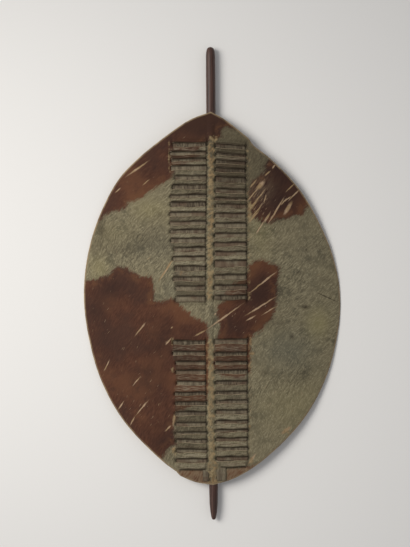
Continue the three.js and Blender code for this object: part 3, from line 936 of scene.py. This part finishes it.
coat = Paint("cowhide_coat")
patch, rim, side_of = coat.stored("patch"), coat.stored("rim"), coat.stored("side")
crown_of, slit_shade_of, luck_of = coat.stored("crown"), coat.stored("slit_shade"), coat.stored("luck")
worn_of, dark_of, scrape_of = coat.stored("worn"), coat.stored("dark"), coat.stored("scrape")
SWIRL = 18.0              # how far the swirl moves the hair
swirl_values = {"Vector": coat.grains(45, 45, 0.4), "Scale": 1.0, "Detail": 1.0}
swirl = coat.node("ShaderNodeTexNoise", {}, swirl_values, "Color")
hair_flow = coat.vector("MULTIPLY_ADD", [
    swirl, (SWIRL * MM, SWIRL * MM, 0), coat.stored("flow", "Vector")])

hair = coat.noise(coat.grains(12, 1.9, 0.1, hair_flow), 3.0, 0.65)
locks = coat.noise(coat.grains(18, 4.0, 0.7, hair_flow), 3.0, 0.6)
wisps = coat.noise(coat.grains(20, 2.4, 1.4, hair_flow), 1.0)
grit = coat.noise(coat.grains(5, 3.2, 0.6, hair_flow), 2.0)
mottle = coat.noise(coat.grains(26, 26, 0.2), 5.0, 0.65)
clouds = coat.noise(coat.grains(110, 110, 0.5), 2.0)
bar_streaks = coat.noise(coat.grains(16, 1.1, 0.3), 3.0, 0.6)
print("coat's noises made")

# %% [markdown]
# Colours go through Mix nodes. Each coat has a dark, a middle and a light, chosen by the hair noise, and
# the two coats meet where the stored depth plus some noise crosses zero.

# %% Coat colours
# dark_of darkens both coats: their darker patches, and painted shade over the upper right column
grey_low = coat.mix(hair.between(0.3, 0.7), (76, 70, 56), (112, 104, 83))
grey_high = coat.mix(hair.between(0.3, 0.7), (106, 99, 79), (146, 137, 110))
grey_coat = (
    coat.mix((locks * 0.65 + grit * 0.35).between(0.38, 0.62), grey_low, grey_high)
    .glazed(wisps.between(0.58, 0.74) * 0.35, (148, 138, 110))
    .glazed(mottle.between(0.5, 0.66) * 0.65, (74, 70, 57))
    .glazed(clouds.between(0.4, 0.6) * 0.35, (126, 117, 92))
    .glazed(coat.stored("golden") * 0.5, (136, 128, 88))
    .glazed(coat.stored("cool") * 0.5, (82, 83, 74))
    .glazed(grit.between(0.58, 0.72) * 0.5, (154, 146, 122))
    .glazed(dark_of * 0.6, (62, 54, 42)))
brown_low = coat.mix(hair.between(0.25, 0.75), (62, 39, 30), (80, 52, 40))
brown_high = coat.mix(hair.between(0.25, 0.75), (72, 46, 35), (94, 63, 48))
brown_coat = (
    coat.mix(locks.between(0.3, 0.7), brown_low, brown_high)
    .glazed(clouds.between(0.46, 0.62) * 0.6, (102, 68, 48))
    .glazed((1 - clouds.between(0.34, 0.48)) * 0.5, (60, 44, 38))
    .glazed(mottle.between(0.48, 0.7) * 0.4, (58, 42, 36))
    .glazed(dark_of * 0.75, (46, 34, 31)))
warm_edge = patch.between(0, 5) * (1 - patch.between(9, 24)) * mottle.between(0.42, 0.6)
brown_coat = (
    brown_coat.glazed(warm_edge * 0.4, (108, 74, 50))
    .glazed(coat.stored("ochre") * locks.between(0.3, 0.6) * 0.8, (120, 103, 82)))

ragged = patch + ((hair - 0.5) * 16 + (locks - 0.5) * 24) * (1 + scrape_of) + (mottle - 0.5) * 14
# the stored stain mark holds real stain spots and painted shade in the folds at the foot
hair_colour = (
    coat.mix(ragged.between(-4, 4), grey_coat, brown_coat)
    .glazed(coat.stored("stains_and_crease_shade"), (46, 38, 30)))
# a dark line painted along a fold near the right edge: painted shade of a fold that the mesh does not have
rim_crease_shade = coat.node("ShaderNodeMapping", dict(vector_type="TEXTURE"), {
    "Vector": coat.place, "Location": (264 * MM, (1 + HIDE_MIDDLE_Y) * MM, 0),
    "Rotation": (0, 0, math.radians(-25)),
    "Scale": (33 * MM, 1.3 * MM, 1e3)})
rim_crease_shade = coat.vector("LENGTH", [rim_crease_shade], "Value") + (locks - 0.5) * 1.6
hair_colour = hair_colour.glazed((1 - rim_crease_shade.between(0.5, 1.2)) * 0.75, (48, 40, 32))
print("coat colours: nodes so far", len(coat.tree.nodes))

# %% [markdown]
# The scrapes are long ellipses. A Mapping node turns and squeezes the place so that each one becomes a
# round spot of radius 1, and the nearest spot wins. Noise added to the place first frays their ends. A
# faint scrape lies a little below the surface, so it is never quite reached. The height is otherwise
# unused, and it passes on the result so far, so that the renderer works the spots out a few at a time and
# doesn't run out of room.

# %% Bare hide
fray_values = {"Vector": coat.grains(16, 4, 0.9, hair_flow), "Scale": 1.0}
fray_noise = coat.node("ShaderNodeTexNoise", {}, fray_values, "Color")
FRAY = 3.6
fray = coat.vector("SCALE", {0: fray_noise, "Scale": FRAY * MM})
frayed_place = coat.vector("ADD", [coat.place, fray])
DEEP = 1e6
SPOTS_AT_A_TIME = 8
LENGTH_SHARE, WIDTH_SHARE = 0.58, 0.72     # from a scrape's full size to the ellipse it is measured by
nearest = None
here = frayed_place
for number, (middle_x, middle_y, turned, length, width, bareness) in enumerate(SCRAPES):
    if number % SPOTS_AT_A_TIME == SPOTS_AT_A_TIME - 1:
        so_far = coat.node("ShaderNodeCombineXYZ", {}, {"Z": nearest})
        here = coat.vector("ADD", [frayed_place, so_far])
    spot = coat.node("ShaderNodeMapping", dict(vector_type="TEXTURE"), {
        "Vector": here, "Rotation": (0, 0, math.radians(turned)),
        "Location": ((middle_x + FRAY / 2) * MM, (middle_y + HIDE_MIDDLE_Y + FRAY / 2) * MM,
                     (bareness - 1) * 0.6 * DEEP),
        "Scale": (length * LENGTH_SHARE * MM, width * WIDTH_SHARE * MM, DEEP)})
    reach = coat.vector("LENGTH", [spot], "Value")
    nearest = reach if nearest is None else nearest.least(reach)
scraped = 1 - (nearest + (hair - 0.5) * 0.8).between(0.45, 1.15)
small_scrapes = (wisps + scrape_of * 0.14).between(0.735, 0.8)
bare = scraped.most(small_scrapes * 0.6)
bare_colour = (
    coat.mix(mottle.between(0.4, 0.6), (130, 104, 72), (162, 136, 112))
    .glazed(hair.between(0.25, 0.75) * 0.5, (176, 156, 122)))
front_colour = coat.mix(bare * 0.92, hair_colour, bare_colour)
print("scrapes:", len(SCRAPES))

# %% [markdown]
# Hands, straps and years wore the hair off where the hide stands proudest, on the ridge and beside the bars.
# The bars' crowns and the rim get painted highlights as well, and the slits and the low streaks of the bars
# get painted shade. The stored wear is broken up by noise, because wear is never even.

# %% Wear, painted highlights and painted shade on the bars, the ridge and the rim
lumps = coat.noise(coat.grains(8, 8, 1.1), 3.0, 0.6)
worn_edge = (worn_of * 1.2 + (lumps - 0.5) * 1.6 + (locks - 0.5) * 1.2).between(0.35, 1.0)
worn_colour = (
    coat.mix(lumps.between(0.4, 0.6), (100, 84, 60), (144, 126, 94))
    .glazed(mottle.between(0.44, 0.6) * 0.4, (130, 98, 64)))
front_colour = front_colour.glazed(worn_edge * 0.8, worn_colour)
ruddy_bars = crown_of * coat.noise(coat.grains(70, 9, 0.8), 2.0).between(0.5, 0.62)
front_colour = front_colour.glazed(ruddy_bars * 0.4, (94, 72, 62))
# lighter streaks on the bars' crowns: wear, and a painted highlight on the crowns
rubbed_and_highlit = crown_of * (bar_streaks + luck_of * 0.08).between(0.47, 0.66)
front_colour = front_colour.glazed(rubbed_and_highlit * 0.7, (144, 135, 114))
# painted shade in the low streaks of the bars, where their relief sinks
bar_crease_shade = crown_of.between(0.0, 0.3) * (1 - bar_streaks.between(0.34, 0.46))
front_colour = front_colour.glazed(bar_crease_shade * 0.6, (44, 38, 28))
bar_shade = crown_of.between(0.0, 0.3) * (0.28 - luck_of * 0.28)
# slit_shade_of paints shade in and beside the slits and under the bars' lower edges
front_colour = (
    front_colour.glazed(bar_shade, (58, 50, 38))
    .glazed(slit_shade_of * 0.86, (28, 22, 16)))
# lighter along the rim: a worn edge, and a painted highlight along the rim
rim_wear_and_highlight = (1 - rim.between(0.8, 3.2)) * (0.4 + mottle.between(0.4, 0.6) * 0.5)
front_colour = front_colour.glazed(rim_wear_and_highlight, (138, 120, 94))
print("bare hide: nodes so far", len(coat.tree.nodes))

# %% [markdown]
# The back is the flesh side: bare, pale and waxy, faintly stained, and darkened by painted shade at the
# slits. The stored side says which face is which.

# %% Flesh side and relief
# slit_shade_of also darkens the back and the lips by the slits with painted shade
flesh = (
    coat.mix(mottle.between(0.35, 0.7), (150, 122, 86), (184, 158, 120))
    .glazed(clouds.between(0.45, 0.62) * 0.5, (124, 94, 62))
    .glazed(slit_shade_of * 0.5, (70, 52, 36)))
lip_colour = (
    coat.mix(mottle.between(0.4, 0.6), (120, 102, 80), (180, 162, 134))
    .glazed(slit_shade_of * 0.8, (30, 24, 16)))
skin_colour = (
    coat.mix(side_of.between(0.1, 0.4), front_colour, lip_colour)
    .glazed(side_of.between(0.6, 0.9), flesh))
relief = hair * 0.5 + locks * 0.5 - bare * 0.5 + crown_of * bar_streaks * 0.9
coat.set(base_color=skin_colour, roughness=0.7 + (hair - 0.5) * 0.25 - bare * 0.15,
         normal=coat.bump(relief, 0.5, 0.0012), specular_ior_level=0.05)
hide.data.materials.append(coat.material)
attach(hide, "root")
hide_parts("hide")
print("coat:", len(coat.tree.nodes), "nodes")

# %% [markdown]
# ## The lacing strips
# Each strip is a wide band of hide, hair out, pushed in and out of the slits with the fingers. It hardly
# bends, because the bars give way to it. It is built as its own skin that follows the same surface, a
# little proud where it shows and a little back where a bar crosses it.

# %% Strips
STRIP_CLEAR = 3.6
STRIP_BULGE = 0.9
STRIP_SINK = 0.45
STRIP_HIDDEN_END = 16.0
TAIL_TUCK = 3.0          # a tail has narrowed this far above the slit that it comes out of
STRIP_CHAINS = 23
STRIP_STEP = 1.8
SHADED = (45.0, 300.0, 50.0, 80.0)     # middle and reach of the area over the upper right column where the strips get painted shade


def strip_stations(group):
    """From a strip's foot up: heights, depths, slants, shares of its tail, left edges and right edges."""
    rows, tail = group["rows"], group["tail"]
    first, last = rows[0], rows[-1]
    tucked = -(HIDE_THICKNESS + STRIP_THICKNESS) / 2 - GAP * 2
    plan = [(first.top + STRIP_HIDDEN_END, tucked, first, 0), (first.top, 0.0, first, 0)]
    for row in rows:
        plan.append(((row.top + row.bottom) / 2, STRIP_BULGE, row, 0))
        if row is not last or tail:
            plan.append(((row.bottom + row.following) / 2, -STRIP_SINK, row, 0))
    if tail:
        upright = last._replace(slant=0.0)
        plan.append((last.following + TAIL_TUCK, 0.0, upright, 1))
        for drop in (EDGE_FADE, tail[2]):
            plan.append((last.following - drop, GAP - tucked, upright, 1))
    else:
        plan.append((last.bottom, 0.0, last, 0))
        plan.append((last.bottom - STRIP_HIDDEN_END, tucked, last, 0))
    stations = [(y, depth, row.slant, share, row.start, row.finish) for y, depth, row, share in plan]
    return np.array(stations)[::-1].T


def window_marks(group, y):
    """(painted shade, luck) of a strip at a height: painted shadow under each bar's lower edge and painted
    shade where it dives under a bar, less in a window.
    """
    for number, (top, bottom, following, *_) in enumerate(group["rows"]):
        if following < y <= top:
            shadow = hump(top - y, 2.6) if y > bottom else 1.0
            return max(shadow, 0.3 * hump(y - bottom, 1.0)), group["lucks"][number]
    return (0.15 if y < group["rows"][-1].following else 1.0), 0.0


def make_strip(name, group):
    skin = Skin()
    heights, depths, slants, shares, lefts, rights = strip_stations(group)
    tail = np.array(group["tail"][:2] if group["tail"] else (0, 0), float)
    group["lucks"] = rng.uniform(-1, 1, len(group["rows"]))
    wander = [edge_wander(), edge_wander()]
    across = np.linspace(0, 1, STRIP_CHAINS)
    chains = [[] for _ in across]
    for y in even_steps(heights[0], heights[-1], STRIP_STEP):
        share, slant, depth, left, right = (
            float(np.interp(y, heights, numbers)) for numbers in (shares, slants, depths, lefts, rights))
        wide = np.array([left + STRIP_CLEAR + wander[0](y) * 0.8, right - STRIP_CLEAR + wander[1](y) * 0.8])
        low, high = wide + (tail - wide) * share
        slit_shade_here, luck_here = window_marks(group, y)
        for k, t in enumerate(across):
            x = low + (high - low) * t
            # painted shade along the strip's edges, beside the slits' ends
            edge_slit_shade = 0.45 * (hump(x - low, 2.0) + hump(high - x, 2.0)) * (1 - share)
            slanted = y + slant * (x - (left + right) / 2)
            slit_shade = min(1.0, max(slit_shade_here, edge_slit_shade))
            chains[k].append(skin.point(x, slanted, depth, 0.0, slit_shade, luck_here))
    skin.panels(chains)
    strip_vertices, strip_faces, strip_marks = skin.thicken(STRIP_THICKNESS, hide_z)
    strip = make_object(name.replace("lacing", "strip"), strip_vertices + [0, HIDE_MIDDLE_Y, 0], strip_faces)
    middle_x, middle_y, reach_x, reach_y = SHADED
    sx, sy, _ = strip_vertices.T
    # painted shade over the upper right column
    shade = np.exp(-((sx - middle_x) / reach_x) ** 2 - ((sy - middle_y) / reach_y) ** 2)
    add_values(strip, shade=shade, **dict(zip(MARKS, strip_marks.T)))
    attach(strip, "root")
    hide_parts(name)
    print(name, len(strip_vertices), "vertices")
    return strip


strips = [make_strip(name, group) for name, group in GROUPS.items()]

# %% [markdown]
# The strips were cut from a greyer part of the hide and their hair lies down their length, so their streaks
# are upright where the coat's are slanted.

# %% Strip material
lace = Paint("strip_hair")
strands = lace.noise(lace.grains(9, 1.3, 0.1, turn=90), 2.0)
bands = lace.noise(lace.grains(40, 10, 0.4, turn=90), 3.0)
marks = lace.noise(lace.grains(14, 2.6, 0.9, turn=90), 1.0)
strip_luck, strip_slit_shade = lace.stored("luck"), lace.stored("slit_shade")
strip_dark = lace.mix(strands.between(0.1, 0.9), (82, 72, 60), (98, 88, 73))
strip_light = lace.mix(strands.between(0.1, 0.9), (104, 95, 78), (130, 120, 100))
strip_colour = lace.mix((bands + strip_luck * 0.08).between(0.36, 0.64), strip_dark, strip_light)
ruddy = lace.noise(lace.grains(60, 25, 0.7), 2.0)
# strip_slit_shade paints the shadow under each bar's lower edge and shade where the strip dives under a bar
strip_colour = (
    strip_colour.glazed((ruddy + strip_luck * 0.06).between(0.5, 0.62) * 0.55, (88, 68, 55))
    .glazed((marks - strip_luck * 0.12).between(0.62, 0.72) * 0.65, (48, 40, 32))
    # painted shade over the upper right column
    .glazed(lace.stored("shade") * 0.6, (46, 38, 30))
    .glazed(strip_slit_shade * 0.88, (30, 24, 18)))
strip_back = lace.stored("side").between(0.6, 0.9)
strip_colour = strip_colour.glazed(strip_back, (160, 134, 98))
lace.set(base_color=strip_colour, roughness=0.75, specular_ior_level=0.05,
                normal=lace.bump(strands * 0.3 + bands, 0.4, 0.001))
for strip in strips:
    strip.data.materials.append(lace.material)
print("strips' material:", len(lace.tree.nodes), "nodes")

# %% [markdown]
# ## The stave
# The stave is a straight shoot, barked, scraped and handled until it shone. A turned profile would be too
# perfect, so each ring of points strays a little from round, with long flats from the scraper.

# %% Stave
stave_half = (stave_high[1] - stave_low[1]) / 2
STAVE_SIDES = 40


def tube_faces(rings, sides):
    """Faces between rings of points that are numbered one after the other."""
    faces = []
    for ring in range(rings - 1):
        for k in range(sides):
            a, b = ring * sides + k, ring * sides + (k + 1) % sides
            faces.append((a, b, b + sides, a + sides))
    return faces


STAVE_FOOT = [(0, 0.0), (1.2, 3.4), (4, 4.9), (10, 6.3), (19, 7.9), (36, 9.6), (67, 10.25)]
STAVE_HEAD = [(67, 11.04), (17, 10.75), (8, 9.4), (4, 7.8), (1.6, 5.2), (0, 0.0)]
STAVE_PROFILE = [(away - stave_half, radius) for away, radius in STAVE_FOOT]
STAVE_PROFILE += [(stave_half - away, radius) for away, radius in STAVE_HEAD]
TIP_RINGS = [0.4, 1.2, 2.4, 4, 6.5, 10, 14, 19, 27, 36, 50]     # from each end; the body starts at 62
BODY_FROM, BODY_STEP = 62, 9
SLIMMER = 0.978          # leaves the flats room inside the turned solid


def stave_radius(y):
    heights, radii = np.array(STAVE_PROFILE).T
    return np.interp(y, heights, radii)


def make_stave():
    """Rings of points, closed by one point at each end."""
    body = list(even_steps(BODY_FROM - stave_half, stave_half - BODY_FROM, BODY_STEP))
    low_end = [-stave_half + away for away in TIP_RINGS]
    high_end = [stave_half - away for away in TIP_RINGS[::-1]]
    heights = low_end + body + high_end
    turn = np.arange(STAVE_SIDES) / STAVE_SIDES * math.tau
    points = []
    for y in heights:
        facets = 0.012 * np.sin(3 * turn + y / 160) + 0.01 * np.sin(5 * turn - y / 90 + 1)
        radius = stave_radius(y) * (SLIMMER + facets)
        points += list(zip(radius * np.cos(turn), [y] * STAVE_SIDES, stave_axis_z + radius * np.sin(turn)))
    faces = [(a, d, c, b) for a, b, c, d in tube_faces(len(heights), STAVE_SIDES)]
    low_tip, high_tip, last = len(points), len(points) + 1, len(points) - STAVE_SIDES
    points += [(0, -stave_half, stave_axis_z), (0, stave_half, stave_axis_z)]
    for k in range(STAVE_SIDES):
        following = (k + 1) % STAVE_SIDES
        faces.append((low_tip, k, following))
        faces.append((high_tip, last + following, last + k))
    return np.array(points), faces


stave_vertices, stave_faces = make_stave()
stave = make_object("wooden_stave", stave_vertices, stave_faces)
print("stave:", len(stave_vertices), "vertices")

# %% [markdown]
# Its grain is a noise stretched along it, with a slower stain over it and short dark pores. Handling has
# closed the surface, so it is less rough than fresh wood.

# %% Stave's wood
wood = Paint("stave_wood")
grain = wood.noise(wood.grains(90, 2.2, 0.3, turn=90), 4.0, 0.6)
stain = wood.noise(wood.grains(160, 40, 0.8, turn=90), 3.0)
pores = wood.noise(wood.grains(14, 0.7, 0.6, turn=90), 2.0)
wood_colour = (
    wood.mix(grain.between(0.35, 0.65), (48, 34, 29), (82, 59, 51))
    .glazed(stain.between(0.42, 0.62) * 0.6, (74, 47, 38))
    .glazed(pores.between(0.6, 0.7) * 0.6, (38, 26, 22)))
wood.set(base_color=wood_colour, roughness=0.46 + (grain - 0.5) * 0.25, specular_ior_level=0.3,
         normal=wood.bump(grain + pores * 0.4, 0.25, 0.0006))
stave.data.materials.append(wood.material)
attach(stave, "root")
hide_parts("stave")
print("wood:", len(wood.tree.nodes), "nodes")

# %% [markdown]
# ## The ties
# A tie is a short strap of wet rawhide passed round the stave and dried in place, so it holds the stave's
# shape. It is swept along the same path as its solid, with a rounded section, and left slightly uneven
# along its edges.

# %% Ties
TIE_THICKNESS = 2.2
TIE_TURNS = np.radians([0, 14, 28, 42, 56, 70, 82, 92])    # round the stave, up from the ground
TIE_BEND = 2.6           # from the stave's side to the part along the hide
TIE_FLANGE = (0, 3, 7, 12, 17.4)
HEEL_DROP = 1.3          # the bend itself hangs a little lower
TIE_SIDES = 20
ON_GROUND = 0.05
tie_names = sorted(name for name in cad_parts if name.startswith("stave_tie"))


def tie_path(low, high):
    """The strap's middle line across the shield, in x and z, with its hide end following the hide."""
    y = (low[1] + high[1]) / 2
    inner = float(stave_radius(y)) + GAP
    mid = inner + TIE_THICKNESS / 2
    loop = [(mid * math.sin(a), stave_axis_z - mid * math.cos(a)) for a in TIE_TURNS]
    under = -(BAR_BACK + HIDE_THICKNESS / 2 + GAP) - TIE_THICKNESS / 2
    flange_from = inner + TIE_THICKNESS + TIE_BEND
    flange = [(flange_from + away, bow(y - HIDE_MIDDLE_Y) - curl * (flange_from + away) ** 2 + under)
              for away in TIE_FLANGE]
    flange[0] = (flange[0][0], flange[0][1] - HEEL_DROP)
    right = loop + flange
    left = [(-x, z) for x, z in right[:0:-1]]
    return np.array(left + right), y


def make_tie(name):
    low, high = (np.array(corner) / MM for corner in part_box(name))
    path, y = tie_path(low, high)
    width = high[1] - low[1]
    way = np.gradient(path, axis=0)
    way /= np.linalg.norm(way, axis=1)[:, None]
    normal = np.column_stack([-way[:, 1], way[:, 0]])
    section = []
    for angle in np.linspace(0, math.tau, TIE_SIDES, endpoint=False):
        c, s = math.cos(angle), math.sin(angle)
        wide = math.copysign(abs(c) ** 0.35, c) * width / 2
        thick = math.copysign(abs(s) ** 0.6, s) * TIE_THICKNESS / 2
        section.append((wide * 0.97, thick))
    lean = bow(y + width / 2 - HIDE_MIDDLE_Y) - bow(y - width / 2 - HIDE_MIDDLE_Y)
    tie_points = []
    for (px, pz), (nx, nz), t in zip(path, normal, np.linspace(0, 1, len(path))):
        narrow = 1 - 0.10 * math.sin(math.pi * t) + 0.02 * math.sin(9 * t + y)
        climb = np.clip((pz - stave_axis_z) / 14, 0, 1)
        for wide, thick in section:
            z = pz + nz * thick + climb * lean * wide / width
            tie_points.append((px + nx * thick, y + wide * narrow, max(z, ON_GROUND)))
    sides, rings = len(section), len(path)
    tie_faces = [tuple(reversed(range(sides))), tuple(range((rings - 1) * sides, rings * sides))]
    tie_faces += tube_faces(rings, sides)
    tie = make_object(name.replace("stave_tie", "rawhide_tie"), tie_points, tie_faces, 50)
    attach(tie, "root")
    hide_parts(name)
    return tie


print("ties to make:", len(tie_names))

# %% [markdown]
# Rawhide dries to a stiff, waxy yellow brown. It is shinier than the hair side and has fine fibres along
# the strap.

# %% Rawhide
rawhide = Paint("rawhide")
wax = rawhide.noise(rawhide.grains(16, 16, 0.2), 4.0)
fibre = rawhide.noise(rawhide.grains(12, 1.2, 0.5), 2.0)
rawhide_colour = rawhide.mix(wax.between(0.35, 0.65), (120, 92, 58), (168, 138, 96))
rawhide.set(base_color=rawhide_colour, roughness=0.45 + (wax - 0.5) * 0.3,
            normal=rawhide.bump(fibre, 0.3, 0.0006))
ties = [make_tie(name) for name in tie_names]
for tie in ties:
    tie.data.materials.append(rawhide.material)
print("ties:", len(ties))

# %% [markdown]
# ## Floor, light and camera
# The floor is plain and pale. One large soft light from the upper left draws the slits and rolls off the
# curl of the hide, and a pale sky fills the shadows. The camera looks straight down, as one looks at a
# shield on the floor.

# %% Floor
FLOOR_HALF = 40000
floor = make_object("floor", [(-FLOOR_HALF, -FLOOR_HALF, 0), (FLOOR_HALF, -FLOOR_HALF, 0),
                              (FLOOR_HALF, FLOOR_HALF, 0), (-FLOOR_HALF, FLOOR_HALF, 0)], [(0, 1, 2, 3)])
plaster = Paint("pale_floor")
plaster.set(base_color=tone(226, 225, 222), roughness=0.9, specular_ior_level=0.1)
floor.data.materials.append(plaster.material)
print("floor's half width:", FLOOR_HALF * MM, "m")

# %% [markdown]
# A smaller light would draw harder slits, and a larger one none at all. This one is about half as wide
# again as the shield is long and stands well to the left, so the bars and the curl of the rim both read.
# Its beam is narrowed, so the floor round the shield stays a little darker. Colour differences stay small,
# as indoors.

# %% Light
world = bpy.data.worlds.new("studio")
world.use_nodes = True
sky = world.node_tree.nodes["Background"]
sky.inputs["Color"].default_value = (0.97, 0.97, 1.0, 1)
sky.inputs["Strength"].default_value = 0.4
scene.world = world


def aim(thing, place, target):
    """Put a light or camera at a place in metres, looking at a target."""
    thing.location = place
    thing.rotation_euler = (Vector(target) - Vector(place)).to_track_quat("-Z", "Y").to_euler()


key_data = bpy.data.lights.new("window", "AREA")
key_data.shape = "DISK"
key_data.size = 1.6
key_data.spread = math.radians(80)
key_data.energy = 14.9
key_data.color = (1.0, 0.97, 0.93)
key = bpy.data.objects.new("window", key_data)
scene.collection.objects.link(key)
aim(key, (-1.8, 0.6, 2.0), (-0.1, -0.2, 0))

print("key light:", key_data.energy, "W from", [round(v, 2) for v in key.location])

# %% [markdown]
# The camera hangs straight above the hide, high enough that the near and far edges are drawn at nearly the
# same size. It looks a little to the left of the stave, and is turned by less than half a degree.

# %% Camera
CAMERA_HEIGHT = 2400.0
VIEW_LENGTH = 1258.1     # how much of the floor is seen along the stave
LOOK_AT = (-16.2, 22.9)
ROLL = -0.41             # degrees
HIDE_LEVEL = 30.0        # the camera's height is counted from about here
camera_data = bpy.data.cameras.new("camera")
camera_data.sensor_width = 36.0
camera_data.lens = camera_data.sensor_width * CAMERA_HEIGHT / VIEW_LENGTH
camera = bpy.data.objects.new("camera", camera_data)
scene.collection.objects.link(camera)
camera.location = (LOOK_AT[0] * MM, LOOK_AT[1] * MM, (CAMERA_HEIGHT + HIDE_LEVEL) * MM)
camera.rotation_euler = (0, 0, math.radians(ROLL))
scene.camera = camera
scene.view_settings.view_transform = "Standard"
print("lens", round(camera_data.lens, 1), "mm")
